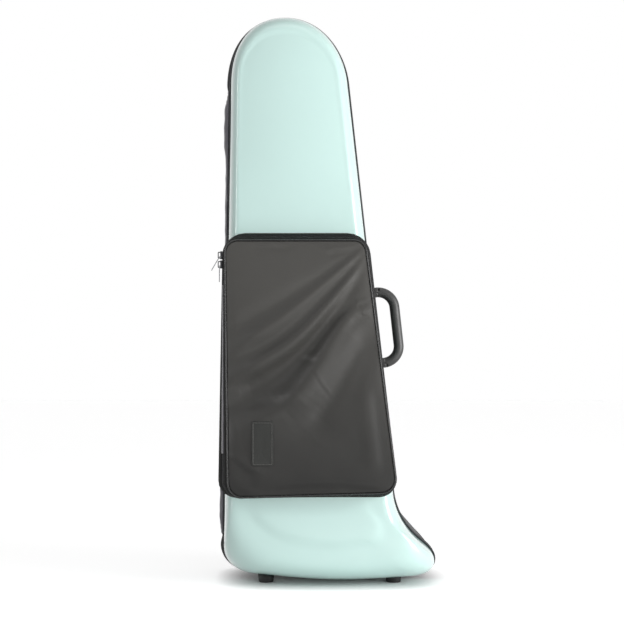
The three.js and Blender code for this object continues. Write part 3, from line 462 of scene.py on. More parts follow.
def bevelled(node, look, width, body, slot):
    """A frame node's shape with its edges rounded, in the node's place."""
    obj = copied(node, "fine_" + node, look)
    modified(obj, "BEVEL", width=width, segments=BEVEL_STEPS, limit_method="ANGLE", angle_limit=BEVEL_FROM)
    shade_smooth(obj.data)
    modified(obj, "WEIGHTED_NORMAL", keep_sharp=True)
    return settle(obj, body, slot, node)


def settle(obj, body, slot, *stands_for):
    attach(obj, body)
    if stands_for:
        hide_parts(*stands_for)
    return obj


# ---- Materials, with noise scales per metre and reliefs in metres
EVEN = (1, 1, 1)
NOISE_SPAN = (0.25, 0.75)
DIAGONAL = math.radians(45)


class Nodes:
    """A node tree that is built node by node."""

    def __init__(self, tree):
        self.tree = tree

    def add(self, kind, inputs=None, **settings):
        node = self.tree.nodes.new("ShaderNode" + kind)
        for key, value in settings.items():
            setattr(node, key, value)
        for key, value in (inputs or {}).items():
            socket = node.inputs[key]
            if isinstance(value, bpy.types.NodeSocket):
                self.tree.links.new(value, socket)
            else:
                socket.default_value = value
        return node

    def math(self, operation, a, b=0.0):
        return self.add("Math", {0: a, 1: b}, operation=operation).outputs[0]


class Look(Nodes):
    """A procedural material, to which tints and reliefs are added one over another."""

    def __init__(self, name, color, rough, **constants):
        self.material = bpy.data.materials.new(name)
        self.material.use_nodes = True
        super().__init__(self.material.node_tree)
        self.shader = self.tree.nodes["Principled BSDF"]
        for key, value in {"Base_Color": (*color, 1), "Roughness": rough, **constants}.items():
            self.shader.inputs[key.replace("_", " ")].default_value = value

    def where(self, kind="Object"):
        return self.add("TexCoord").outputs[kind]

    def noise(self, scale, detail, stretch=EVEN):
        at = self.add("Mapping", {"Vector": self.where(), "Scale": stretch}).outputs["Vector"]
        return self.add("TexNoise", {"Vector": at, "Scale": scale, "Detail": detail}).outputs[0]

    def range(self, value, low, high, to_low=0.0, to_high=1.0):
        inputs = {"Value": value, "From Min": low, "From Max": high, "To Min": to_low, "To Max": to_high}
        return self.add("MapRange", inputs).outputs[0]

    def tint(self, factor, color):
        """Mixes the base colour towards another by a factor."""
        mix = self.add("Mix", {0: factor, 7: (*color, 1)}, data_type="RGBA")
        base = self.shader.inputs["Base Color"]
        if base.is_linked:
            self.tree.links.new(base.links[0].from_socket, mix.inputs[6])
        else:
            mix.inputs[6].default_value = base.default_value
        self.tree.links.new(mix.outputs[2], base)

    def mottle(self, scale, low, high, color, most=1.0):
        """Tints in soft spots, up to a share, where a noise lies above a low value."""
        self.tint(self.range(self.noise(scale, 3), low, high, 0.0, most), color)

    def roughen(self, scale, detail, low, high, stretch=EVEN):
        """Lets a noise set the roughness between two values."""
        spots = self.range(self.noise(scale, detail, stretch), *NOISE_SPAN, low, high)
        self.tree.links.new(spots, self.shader.inputs["Roughness"])

    def bump(self, height, distance, strength):
        """Adds relief, on top of any before it."""
        node = self.add("Bump", {"Height": height, "Distance": distance, "Strength": strength})
        source = self.shader.inputs["Normal"]
        if source.is_linked:
            self.tree.links.new(source.links[0].from_socket, node.inputs["Normal"])
        self.tree.links.new(node.outputs[0], source)

    def grain(self, scale, detail, distance, strength, stretch=EVEN):
        self.bump(self.noise(scale, detail, stretch), distance, strength)

    def pebbles(self, scale, distance, strength):
        cells = self.add("TexVoronoi", {"Vector": self.where(), "Scale": scale})
        self.bump(cells.outputs["Distance"], distance, strength)

    def weave(self, pitch, kind="UV", angle=0.0):
        """Height of a plain weave of a pitch in metres."""
        turn = self.add("VectorRotate", {"Vector": self.where(kind), "Angle": angle}, rotation_type="Z_AXIS")
        split = self.add("SeparateXYZ", {"Vector": turn.outputs[0]})
        turns = [self.math("MULTIPLY", split.outputs[i], 2 * math.pi / pitch) for i in (0, 1)]
        return self.math("ABSOLUTE", self.math("MULTIPLY", *(self.math("SINE", t) for t in turns)))

    def woven(self, pitch, color, distance, strength, **turned):
        """A weave as a tint and as relief."""
        weave = self.weave(pitch, **turned)
        self.tint(weave, color)
        self.bump(weave, distance, strength)


SHELL = Look("mint_shell", (0.600, 0.825, 0.780), 0.42, Coat_Weight=0.9, Coat_IOR=1.6, Coat_Roughness=0.06)
SHELL.mottle(60, 0.3, 0.7, (0.615, 0.840, 0.795), 0.2)
SHELL.grain(140, 1, 0.00002, 0.15)

PLUSH = Look("lining_plush", (0.020, 0.020, 0.026), 0.95, Sheen_Weight=0.6, Sheen_Roughness=0.4)
PLUSH.mottle(22, 0.4, 0.7, (0.036, 0.036, 0.045))
PLUSH.grain(900, 4, 0.0006, 0.8)
PLUSH.grain(22, 3, 0.001, 0.3)

TEXTILE = Look("back_textile", (0.026, 0.026, 0.030), 0.78, Sheen_Weight=0.25, Sheen_Roughness=0.5)
TEXTILE.woven(0.0018, (0.055, 0.055, 0.062), 0.00025, 0.6, angle=DIAGONAL)
TEXTILE.grain(35, 3, 0.0008, 0.2)

TRIM = Look("rim_trim", (0.012, 0.012, 0.014), 0.36)
TRIM.roughen(40, 2, 0.3, 0.45)
TRIM.grain(700, 2, 0.00008, 0.4)

TAPE = Look("zip_tape", (0.011, 0.011, 0.013), 0.85, Sheen_Weight=0.2)
TAPE.woven(0.0011, (0.03, 0.03, 0.033), 0.0002, 0.7)

COIL = Look("zip_coil", (0.014, 0.014, 0.016), 0.3)
COIL.roughen(300, 1, 0.25, 0.4)

STRIP = Look("hinge_strip", (0.075, 0.068, 0.085), 0.42, Sheen_Weight=0.5, Sheen_Roughness=0.3)
STRIP.mottle(30, 0.35, 0.7, (0.13, 0.12, 0.145))
STRIP.bump(STRIP.weave(0.0009), 0.0001, 0.5)
STRIP.grain(120, 3, 0.0006, 0.4, (1, 1, 0.25))

# Painted light: the bag's leather is painted lighter towards its top, between these heights
LEATHER_PAINTED_LIGHT_HEIGHTS = (0.12, 0.50)
LEATHER = Look("bag_leather", (0.009, 0.0089, 0.0085), 0.46, Specular_IOR_Level=0.33)
leather_z = LEATHER.add("SeparateXYZ", {"Vector": LEATHER.where()}).outputs[2]
# painted light: the leather's colour lightens towards the top of the bag
LEATHER.tint(LEATHER.range(leather_z, *LEATHER_PAINTED_LIGHT_HEIGHTS), (0.062, 0.0600, 0.0555))
LEATHER.mottle(14, 0.35, 0.7, (0.048, 0.0466, 0.0435), 0.2)
LEATHER.roughen(90, 3, 0.41, 0.48)
LEATHER.pebbles(1300, 0.00006, 0.35)
LEATHER.grain(700, 3, 0.00006, 0.3)

RUBBER = Look("foot_rubber", (0.009, 0.009, 0.0095), 0.62)
RUBBER.roughen(60, 3, 0.5, 0.72)
RUBBER.grain(500, 2, 0.0001, 0.5)
RUBBER.mottle(18, 0.5, 0.8, (0.03, 0.03, 0.03))

GRIP = Look("handle_grip", (0.022, 0.0218, 0.021), 0.42, Specular_IOR_Level=0.7)
GRIP.pebbles(900, 0.0001, 0.35)
GRIP.roughen(50, 3, 0.38, 0.48)

STEEL = Look("pull_steel", (0.30, 0.305, 0.315), 0.3, Metallic=1.0)
STEEL.roughen(90, 3, 0.22, 0.4, (1, 1, 8))
STEEL.grain(400, 2, 0.00004, 0.4, (1, 1, 0.1))

ZINC = Look("slider_zinc", (0.055, 0.056, 0.060), 0.3, Metallic=1.0)
ZINC.roughen(160, 2, 0.24, 0.38)
ZINC.grain(600, 2, 0.00003, 0.3)

WEBBING = Look("webbing", (0.013, 0.013, 0.014), 0.8, Sheen_Weight=0.3)
WEBBING.woven(0.0022, (0.03, 0.03, 0.032), 0.0003, 0.6, kind="Object", angle=DIAGONAL)

THREAD = Look("thread", (0.110, 0.108, 0.100), 0.6, Sheen_Weight=0.2)
THREAD.grain(1500, 1, 0.0001, 0.5)

PATCH_LOOK = Look("patch_leather", (0.028, 0.029, 0.027), 0.5, Specular_IOR_Level=0.3)
PATCH_LOOK.pebbles(420, 0.0003, 0.7)
PATCH_LOOK.grain(1500, 2, 0.0001, 0.5)

GUSSET = Look("gusset_leather", (0.013, 0.013, 0.0126), 0.7, Specular_IOR_Level=0.07)
GUSSET.mottle(20, 0.35, 0.7, (0.018, 0.0178, 0.0172), 0.5)
GUSSET.pebbles(1300, 0.00006, 0.35)
GUSSET.grain(60, 3, 0.0005, 0.25)

PIPING = Look("bag_piping", (0.009, 0.009, 0.0088), 0.26, Specular_IOR_Level=0.5)
PIPING.roughen(120, 2, 0.22, 0.32)
PIPING.grain(500, 2, 0.00006, 0.4)

# ---- Camera and light, first of all
CAMERA_X = 0.1465
CAMERA_AWAY = 3.0
CAMERA_HEIGHT = 0.449
FOCAL_MM = 102.4
SENSOR_MM = 36.0
camera = linked("camera", bpy.data.cameras.new("camera"))
camera.data.lens = FOCAL_MM
camera.data.sensor_width = SENSOR_MM
camera.location = place(CAMERA_X, -CAMERA_AWAY, CAMERA_HEIGHT)
camera.rotation_euler = (math.pi / 2, 0, 0)
scene.camera = camera

AIM = Vector((0, 0, 0.45))


def lamp(name, at, size, watts):
    data = bpy.data.lights.new(name, "AREA")
    data.shape = "RECTANGLE"
    data.size, data.size_y = size
    data.energy = watts
    obj = linked(name, data)
    obj.location = at
    obj.rotation_euler = (AIM - Vector(at)).to_track_quat("-Z", "Y").to_euler()
    return obj


lamp("key_right", (2.20, -1.25, 0.45), (1.5, 1.7), 66)
gleam = lamp("gleam_left", (-1.30, -0.80, 0.60), (0.14, 1.5), 8)
gleam.visible_diffuse = False
front = lamp("front_soft", (0.40, -2.40, 0.22), (1.4, 0.8), 17)
front.visible_glossy = False
lamp("top_soft", (0.0, -0.9, 2.3), (1.2, 0.8), 3)

AMBIENT = 0.29
BACKGROUND = 1.0
FLOOR_GLOW = 0.62
FLOOR_SHADE_REACH = 0.040
FLOOR_SHADE = 1.2
FLOOR_HALF = 4.0
FLOOR_BACK = 6.0


def background_rays(tree):
    """One for the rays that see the background itself, straight or by reflection or refraction."""
    rays = tree.add("LightPath").outputs
    seen = tree.math("MAXIMUM", rays["Is Camera Ray"], rays["Is Glossy Ray"])
    return tree.math("MAXIMUM", seen, rays["Is Transmission Ray"])


def studio_world():
    """A white room, brighter where it is seen than where it lights."""
    scene.world = bpy.data.worlds.new("studio")
    scene.world.use_nodes = True
    room = Nodes(scene.world.node_tree)
    room.tree.nodes.clear()
    light, seen = (room.add("Background", {"Color": (1, 1, 1, 1), "Strength": strength}).outputs[0]
                   for strength in (AMBIENT, BACKGROUND))
    mix = room.add("MixShader", {0: background_rays(room), 1: light, 2: seen})
    room.add("OutputWorld", {"Surface": mix.outputs[0]})


def floor_look():
    """White paper that glows a little to the rays that see it, so that only a close shadow shows."""
    look = Look("floor", (0.80, 0.80, 0.80), 0.6, Emission_Color=(1, 1, 1, 1))
    near = look.add("AmbientOcclusion", {"Distance": FLOOR_SHADE_REACH}).outputs["AO"]
    glow = look.math("MULTIPLY", background_rays(look), FLOOR_GLOW)
    glow = look.math("MULTIPLY", glow, look.math("POWER", near, FLOOR_SHADE))
    look.tree.links.new(glow, look.shader.inputs["Emission Strength"])
    look.grain(30, 3, 0.0005, 0.1)
    return look


studio_world()
scene.view_settings.view_transform = "Standard"
floor = mesh_object(
    "floor",
    [(-FLOOR_HALF, -FLOOR_HALF, 0), (FLOOR_HALF, -FLOOR_HALF, 0),
     (FLOOR_HALF, FLOOR_BACK, 0), (-FLOOR_HALF, FLOOR_BACK, 0)],
    [(0, 1, 2, 3)],
    floor_look(),
)


# ---- Shells
def shell(node, half, look, slot):
    """A half's wall, from the middle of its outer face over the rim to the middle of its inner one."""
    outer = skin(half, 0.0, OUTER_RINGS)
    inner = skin(half, WALL, INNER_RINGS)[::-1]
    cap = crowned(half, outer[0], 1.0)
    inner_cap = crowned(half, inner[-1], 0.0)[::-1]
    obj = loft("fine_" + node, cap + outer + inner + inner_cap, look)
    return settle(obj, half["body"], slot, node)


LID["shell"] = shell("lid_shell", LID, SHELL, "shell")
BACK["shell"] = shell("back_shell", BACK, TEXTILE, "textile")


# ---- Rim trims, zip tapes and coils
def beside(p, out, away, y):
    """A point of the case at a distance out from a flat line, and at a depth."""
    return place(p.x + out.x * away, y, p.y + out.y * away)


def swept(name, line, out, profile, look, closed, prouder=None):
    """A profile of (out, y) pairs carried along a flat line, and stood out further where asked."""
    rings = []
    for p, o in zip(line, out):
        more = prouder(p) if prouder else 0.0
        rings.append([beside(p, o, away + (more if away > SEAM else 0.0), y) for away, y in profile])
    return loft(name, rings, look, across=closed, caps=not closed)


def arc(middle, radius, start, end, steps):
    """Points round a middle between two angles in degrees."""
    points = []
    for i in range(steps + 1):
        angle = math.radians(start + (end - start) * i / steps)
        points.append((middle[0] + radius * math.cos(angle), middle[1] + radius * math.sin(angle)))
    return points


TRIM_SOFT = 0.0012
TRIM_ARC = 4
GROOVE_IN = 0.0022
GROOVE = 0.0004


def trim_profile(side):
    """A rounded binding with a sewn groove, clasping the shell's rim."""
    edge = RIM_Y - SEAM - TRIM_LIP
    far = RIM_Y + TRIM_WIDTH
    top = SEAM + TRIM_THICK
    groove = far - GROOVE_IN
    points = [(SEAM, far)]
    points += arc((top - TRIM_SOFT, far - TRIM_SOFT), TRIM_SOFT, 90, 0, TRIM_ARC)
    points += [(top, groove + GROOVE), (top - GROOVE, groove), (top, groove - GROOVE)]
    points += arc((top - TRIM_SOFT, edge + TRIM_SOFT), TRIM_SOFT, 0, -90, TRIM_ARC)
    points += [(-WALL, edge), (-WALL, edge + TRIM_LIP), (SEAM, edge + TRIM_LIP)]
    return [(away, side * y) for away, y in points]


# Where the back's binding stands out past the fabric hinge's ends, the lower one as negative heights
PROUD_TOP = (0.800, 0.835)
PROUD_BOTTOM = (-0.085, -0.055)
PROUD_BOTTOM_END = CORNER_LENGTH * 1.6
PROUD_FADE = 0.8


def past_hinge(p):
    """How far the back's binding stands out past the two ends of the fabric hinge."""
    over = clamped((CROWN_X - p.x) / (CROWN_X - LEFT_LEAN))
    under = clamped(1 - p.x / PROUD_BOTTOM_END)
    top = over ** PROUD_FADE * eased(p.y, *PROUD_TOP)
    bottom = under ** PROUD_FADE * eased(-p.y, *PROUD_BOTTOM)
    return TRIM_PROUD * (top + bottom)


TRIM_STEP = 0.004
rim_line = resample(RIM + [RIM[0]], TRIM_STEP)[:-1]
rim_out = outwards(rim_line)
for half, name in ((LID, "lid_rim_trim"), (BACK, "back_rim_trim")):
    prouder = past_hinge if half is BACK else None
    trim = swept("fine_" + name, rim_line, rim_out, trim_profile(half["side"]), TRIM, True, prouder)
    settle(trim, half["body"], "trim", name)

# The zip runs from the strip's upper end round to its lower end
ZIP_STEP = 0.0006
TOOTH_PITCH = 0.0024
TOOTH_MEAN, TOOTH_SWING, TOOTH_WAIST = 0.62, 0.38, -0.4
COIL_SIDES = 6
COIL_CENTRE = 0.0015
COIL_RADII = (0.00095, 0.0013)
COIL_TALLNESS = (0.9, 0.1)
COIL_WIDTH = 0.0027
TAPE_INSET = 0.0005
TAPE_THICK = 0.0012
TAPE_RIDGE = (0.0002, 0.0008)
corner, shoulder = RIM_KNOTS[0][0], RIM_KNOTS[1][0]
strip_low, strip_high = (corner.lerp(shoulder, share) for share in STRIP_SHARES)
zip_line = [strip_high] + RIM[LEFT_COUNT:] + [RIM[0], strip_low]


def tape_profile(side):
    """A flat tape between the trim and the zip line, with a ridge along its sewn edge."""
    edge = RIM_Y - SEAM - TRIM_LIP - SEAM
    top = -TAPE_INSET
    under = top - TAPE_THICK
    high, wide = TAPE_RIDGE
    points = [(under, edge), (top, edge), (top + high, edge - wide), (top, edge - 2 * wide)]
    points += [(top, SEAM + COIL_WIDTH), (top, SEAM), (under, SEAM)]
    return [(away, side * y) for away, y in points]


def tooth_swell(i, shift):
    """How full a coil is at a step along it, fullest once a pitch."""
    phase = 2 * math.pi * (i * ZIP_STEP / TOOTH_PITCH + shift)
    return TOOTH_MEAN + TOOTH_SWING * max(TOOTH_WAIST, math.cos(phase))


def coil_rings(line, out, side, shift):
    """A coil along a line, swelling once for each tooth."""
    rings = []
    for i, (p, o) in enumerate(zip(line, out)):
        swell = tooth_swell(i, shift)
        tall = COIL_RADII[1] * (COIL_TALLNESS[0] + COIL_TALLNESS[1] * swell)
        rings.append([beside(p, o, COIL_RADII[0] * swell * c, side * (COIL_CENTRE + tall * s))
                      for c, s in circle(COIL_SIDES, 0.5)])
    return rings


tape_line = resample(zip_line, TRIM_STEP)
tape_out = outwards(tape_line, False)
tooth_line = resample(zip_line, ZIP_STEP)
tooth_out = outwards(tooth_line, False)
for half, name, shift in ((LID, "lid_zip_tape", 0.0), (BACK, "back_zip_tape", 0.5)):
    tape = swept("fine_" + name, tape_line, tape_out, tape_profile(half["side"]), TAPE, False)
    settle(tape, half["body"], "tape", name)
    rings = coil_rings(tooth_line, tooth_out, half["side"], shift)
    settle(loft(name + "_coil", rings, COIL, caps=True), half["body"], "tape")


# ---- The fabric hinge of the lid, one cloth over both halves
STRIP_STEP = 0.0022
STRIP_ACROSS = 34
STRIP_EDGE_Y = 0.0135
STRIP_EDGE_OUT = 0.0042
STRIP_PEAK = 0.0100
STRIP_FLATTER = 0.0025
STRIP_PUFF = 0.0015
STRIP_THICK = 0.0009
STRIP_ENDS = 0.003
STRIP_ARCH = 0.75
STRIP_LEAST = 0.25
STRIP_WAVE = 0.0008
STRIP_GATHER = 0.0007
SLOW_WAVES, SHORT_WAVES, GATHER_DRIFT, GATHERS = 9, 60, 120, 900
GATHER_RUN = 0.03
PEAK_RUN = 0.035

# Heights where the cloth lies flatter beside the bag's top and where it puffs out above it
FLATTER_FROM, FLATTER_TO = (0.42, 0.56), (0.69, 0.74)
PUFF_FROM, PUFF_TO = (0.70, 0.75), (0.78, 0.83)


def from_strip_end(z):
    return min(z - strip_low.y, strip_high.y - z)


def pucker(v, z):
    """How far the hinge cloth puffs out at a height, gathered at its ends."""
    slow = noise.noise(Vector((2.0, 0.3, z * SLOW_WAVES)))
    fold = noise.noise(Vector((v * 1.3, 5.1, z * SHORT_WAVES)))
    ends = min(1.0, from_strip_end(z) / GATHER_RUN)
    gathers = math.sin(z * GATHERS + 2 * noise.noise(Vector((v * 3, 1.0, z * GATHER_DRIFT))))
    return STRIP_WAVE * slow + STRIP_WAVE * fold + STRIP_GATHER * gathers * (1 - ends)


def strip_peak(z):
    """How far the middle of the cloth stands out at a height."""
    flatter = STRIP_FLATTER * eased(z, *FLATTER_FROM) * (1 - eased(z, *FLATTER_TO))
    puffed = STRIP_PUFF * eased(z, *PUFF_FROM) * (1 - eased(z, *PUFF_TO))
    ends = eased(from_strip_end(z), 0.0, PEAK_RUN)
    peak = STRIP_PEAK - flatter + puffed
    return STRIP_EDGE_OUT + (peak - STRIP_EDGE_OUT) * (STRIP_LEAST + (1 - STRIP_LEAST) * ends)


def strip_sheet():
    end = RIM_KNOTS[0][1] * STRIP_ENDS
    line = resample([strip_low + end, strip_high - end], STRIP_STEP)
    rings = []
    for p, o in zip(line, outwards(line, False)):
        ring = []
        for k in range(STRIP_ACROSS + 1):
            v = 2 * k / STRIP_ACROSS - 1
            arch = (1 - v * v) ** STRIP_ARCH if abs(v) < 1 else 0.0
            away = STRIP_EDGE_OUT + (strip_peak(p.y) - STRIP_EDGE_OUT) * arch
            away += pucker(v, p.y) * (STRIP_LEAST + (1 - STRIP_LEAST) * arch)
            ring.append(beside(p, o, away, STRIP_EDGE_Y * v))
        rings.append(ring)
    return rings


strip = cloth("hinge_cloth", strip_sheet(), STRIP, STRIP_THICK, 0)
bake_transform(strip)
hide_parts("hinge_strip_front", "hinge_strip_back")


# ---- Linings and the slide's cradle, softened from their solids
SOFTENING = 0.5
SOFTENINGS = 4


def soft_copy(node, voxel, body):
    """A padded piece in a frame node's place, its form rounded as foam under plush."""
    obj = copied(node, "soft_" + node, PLUSH)
    modified(obj, "REMESH", mode="VOXEL", voxel_size=voxel)
    modified(obj, "SMOOTH", factor=SOFTENING, iterations=SOFTENINGS)
    shade_smooth(obj.data)
    settle(obj, body, "plush", node)


soft_copy("lid_lining", 0.004, "lid")
soft_copy("bell_block", 0.004, "back_half")
soft_copy("accessory_block", 0.004, "back_half")
soft_copy("slide_cradle", 0.003, "lid")

# ---- Bag outline
BAG_COUNTS = (12, 26, 66, 30, 12)
BAG_ARC = 14
STRIP_COUNT = 46


def fillet(before, at, after, radius):
    """Points of a round corner."""
    a = (before - at).normalized()
    b = (after - at).normalized()
    half = math.acos(max(-1.0, min(1.0, a.dot(b)))) / 2
    centre = at + (a + b).normalized() * radius / math.sin(half)
    start = at + a * radius / math.tan(half) - centre
    turn = -(math.pi - 2 * half)
    points = []
    for i in range(BAG_ARC + 1):
        angle = turn * i / BAG_ARC
        c, s = math.cos(angle), math.sin(angle)
        points.append(centre + flat(start.x * c - start.y * s, start.x * s + start.y * c))
    return points


def bag_line(share, inset, radii):
    """The bag's outline between base and face, clockwise from the upper end of its hinge strip."""
    high = BAG_TOP - BAG_TOP_TAPER * share - inset

    def taper(tapers, z):
        rise = (z - BAG_BOTTOM) / (BAG_TOP - BAG_BOTTOM)
        return (tapers[0] + (tapers[1] - tapers[0]) * rise) * share + inset

    def left(z):
        return flat(left_x(z) - BAG_LEFT_OVER + taper(BAG_LEFT_TAPERS, z), z)

    def right(z):
        return flat(right_x(z) + BAG_RIGHT_OVER - taper(BAG_RIGHT_TAPERS, z), z)

    left_low, right_low = (BAG_BOTTOM + low * share + inset for low in BAG_BOTTOM_TAPERS)
    corners = [left(left_low), left(high), right(high), right(right_low)]
    arcs = []
    for i, at in enumerate(corners):
        radius = radii[1] if i in (1, 2) else radii[0]
        arcs.append(fillet(corners[i - 1], at, corners[(i + 1) % 4], radius))
    points = [left(BAG_STRIP[1])]
    for i, count in zip((1, 2, 3, 0), BAG_COUNTS):
        points += straight(points[-1], arcs[i][0], count)[1:] + arcs[i]
    points += straight(points[-1], left(BAG_STRIP[0]), BAG_COUNTS[4])[1:]
    points += straight(left(BAG_STRIP[0]), left(BAG_STRIP[1]), STRIP_COUNT)
    return points


def bag_inset(inset):
    """The face's outline, drawn in evenly."""
    return bag_line(1, inset, [radius - inset for radius in BAG_FACE_RADII])


BAG_BASE = bag_line(0, 0, BAG_RADII)
BAG_FACE = bag_inset(0)
BAG_OUT = outwards(BAG_BASE)
ZIP_COUNT = len(BAG_BASE) - STRIP_COUNT + 1


def face_place(x, z, height):
    """A point over the lid's front face."""
    return place(x, -depth_at(LID, z) - height, z)


def bag_point(i, height, away):
    p = BAG_BASE[i].lerp(BAG_FACE[i], height / BAG_DEPTH) + BAG_OUT[i] * away
    return face_place(p.x, p.y, height)


def bag_band(name, profile, look, count=None):
    """A profile of (out, up) pairs carried round the bag, or along its first points only."""
    rings = [[bag_point(i, up, away) for away, up in profile] for i in range(count or len(BAG_BASE))]
    return loft(name, rings, look, across=not count, caps=bool(count))


BAG_WALL = 0.0025
WALL_STEPS = 8
WALL_ROUND = 0.6
WALL_SINK = 0.0004
PIPE_SIDES = 12
BAG_COIL_AWAY = 0.0012
OUT_PROBE = 0.001
BAG_COIL_RADII = (0.0009, 0.0011)


def wall_profile(low, high, puff):
    """A padded band, puffed outwards between its two seams."""
    points = []
    for i in range(WALL_STEPS + 1):
        v = i / WALL_STEPS
        points.append((puff * math.sin(math.pi * v) ** WALL_ROUND - WALL_SINK, low + (high - low) * v))
    return points + [(-BAG_WALL, high), (-BAG_WALL, low)]


for name, body, low, high, puff in (
    ("bag_rear_wall", "lid", BAG_BACK, BAG_ZIP - BAG_TAPE - SEAM, 0.0012),
    ("bag_front_wall", "bag_front", BAG_ZIP + BAG_TAPE + SEAM, BAG_DEPTH - BAG_PIPE * 2 - SEAM, 0.0014),
):
    settle(bag_band("fine_" + name, wall_profile(low, high, puff), GUSSET), body, "leather", name)


def bag_tape_profile(side):
    near = BAG_ZIP + side * SEAM / 2
    far = BAG_ZIP + side * BAG_TAPE
    return [(-BAG_WALL, near), (-TAPE_INSET, near), (-TAPE_INSET, far), (-BAG_WALL, far)]


def bag_teeth(name, side, shift, body):
    """A coil along the bag's zip, on its side of the zip line."""
    line, other = (resample([bag_point(i, BAG_ZIP, away) for i in range(ZIP_COUNT)], ZIP_STEP)
                   for away in (0.0, OUT_PROBE))
    rings = []
    for i, (p, way) in enumerate(zip(line, ways_along(line))):
        q = other[round(i * (len(other) - 1) / (len(line) - 1))]
        out = (q - p - way * (q - p).dot(way)).normalized()
        up = way.cross(out)
        up *= -1 if up.y > 0 else 1
        wide, tall = BAG_COIL_RADII
        wide *= tooth_swell(i, shift)
        rings.append([p + out * (wide * c) + up * (side * BAG_COIL_AWAY + tall * s)
                      for c, s in circle(COIL_SIDES, 0.5)])
    return settle(loft(name, rings, COIL, caps=True), body, "tape")


for side, name, body in ((-1, "bag_rear_zip_tape", "lid"), (1, "bag_front_zip_tape", "bag_front")):
    tape = bag_band("fine_" + name, bag_tape_profile(side), TAPE, ZIP_COUNT)
    settle(tape, body, "tape", name)
    bag_teeth(name + "_coil", side, 0.25 + 0.25 * side, body)

pipe = [(-BAG_PIPE + BAG_PIPE * c, BAG_DEPTH - BAG_PIPE + BAG_PIPE * s) for c, s in circle(PIPE_SIDES)]
settle(bag_band("fine_bag_piping", pipe, PIPING), "bag_front", "trim", "bag_front_piping")

bevelled("bag_back", LEATHER, 0.0008, "lid", "leather")


# ---- Bag hinge cloth
BAG_STRIP_ACROSS = 12
BAG_STRIP_OVER = 0.0006
BAG_STRIP_LIFT = 0.0002
BAG_STRIP_PUFF = 0.0006
BAG_STRIP_WAVE = 0.0003


def bag_hinge_sheet():
    rings = []
    first = ZIP_COUNT - 1
    for i in range(first, first + STRIP_COUNT + 1):
        ring = []
        for k in range(BAG_STRIP_ACROSS + 1):
            v = 2 * k / BAG_STRIP_ACROSS - 1
            wave = BAG_STRIP_WAVE * noise.noise(Vector((v, 3.3, i * 0.35)))
            puff = BAG_STRIP_PUFF * (1 - v * v) + wave
            up = BAG_ZIP + v * (BAG_TAPE + BAG_STRIP_OVER)
            ring.append(bag_point(i % len(BAG_BASE), up, puff + BAG_STRIP_LIFT))
        rings.append(ring)
    return rings


bag_hinge = cloth("bag_hinge_cloth", bag_hinge_sheet(), STRIP, STRIP_THICK, 0)
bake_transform(bag_hinge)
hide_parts("bag_strip_rear", "bag_strip_front")


# ---- Front panel of the bag
PANEL_ROWS = 260
PANEL_COLS = 170
PANEL_EDGE_RISE = 0.0022
PANEL_EDGE_RUN = 0.010
PANEL_BELLY = 0.0050
BELLY_AT = 0.40
PANEL_SEAT = 0.0015
PANEL_THICK = 0.0020
FOLD_LIFT = 2.0
FOLD_SIDE = (0.9, 0.3)
FOLD_FADE = 5
FOLD_END = 0.25
EDGE_CROWD = 0.4
ROW_MARGIN = 0.0002
CORNER_EASE = 0.6

# Folds of the soft front in millimetres: line, half widths at its ends, and slope of its flank
MM_PER_METRE = 1000
FOLDS = [
    ([(240, 330), (248, 260), (257, 190)], (15, 17), 0.11),
    ([(233, 555), (200, 529), (163, 500), (127, 475), (95, 452), (60, 431), (21, 401)], (5.6, 20.9), -0.22),
    ([(230, 547), (208, 525), (175, 494), (127, 449), (79, 410), (21, 382)], (5.6, 19.3), 0.2),
    ([(229, 537), (208, 510), (183, 481), (156, 451), (127, 420), (87, 391), (21, 356)], (5.6, 19.3), -0.2),
    ([(229, 526), (211, 497), (183, 462), (156, 427), (119, 388), (71, 359), (18, 330)], (9.6, 24.1), 0.26),
    ([(236, 465), (216, 459), (191, 439), (167, 407), (140, 369), (111, 332), (79, 305), (18, 284)],
     (8, 38.5), -0.34),
    ([(236, 428), (214, 391), (188, 350), (163, 311), (127, 270)], (27.2, 35.3), 0.2),
    ([(233, 396), (207, 353), (183, 308), (156, 270)], (11.2, 19.2), -0.1),
    ([(132, 378), (142, 374), (153, 374), (166, 388)], (6, 6), -0.12),
    ([(148, 359), (158, 338), (177, 313)], (4, 4), -0.08),
    ([(240, 467), (230, 465), (217, 460)], (3.2, 6.4), -0.3),
    ([(240, 441), (225, 446)], (2.6, 3.5), -0.28),
    ([(240, 454), (227, 455)], (3.9, 4.2), 0.24),
    ([(230, 557), (201, 549), (169, 546)], (4.5, 8), -0.22),
    ([(47, 560), (72, 555), (114, 557)], (6.4, 5.5), -0.2),
    ([(11, 220), (28, 209), (43, 197), (60, 190)], (6.4, 9.6), -0.3),
    ([(9, 197), (32, 178), (57, 165)], (9.6, 11.2), 0.2),
    ([(60, 165), (159, 174), (261, 166)], (8, 8), -0.2),
    ([(12, 311), (66, 311), (127, 305)], (8, 16), -0.08),
    ([(12, 294), (60, 295)], (8, 8), 0.12),
    ([(12, 420), (26, 427)], (4.8, 4.8), -0.16),
    ([(12, 321), (31, 327)], (5.6, 8), 0.12),
]


def row_ends(line, z):
    """Where a level line crosses the outline."""
    xs = []
    for a, b in zip(line, line[1:] + line[:1]):
        if (a.y - z) * (b.y - z) <= 0 and abs(a.y - b.y) > 1e-9:
            xs.append(a.x + (b.x - a.x) * (z - a.y) / (b.y - a.y))
    return min(xs), max(xs)


def rounded_line(points):
    """A line in metres with its corners cut twice, keeping both ends."""
    line = [np.array(p) / MM_PER_METRE for p in points]
    for _ in range(2):
        cut = [line[0]]
        for a, b in zip(line, line[1:]):
            cut += [a * 0.75 + b * 0.25, a * 0.25 + b * 0.75]
        line = cut + [line[-1]]
    return line


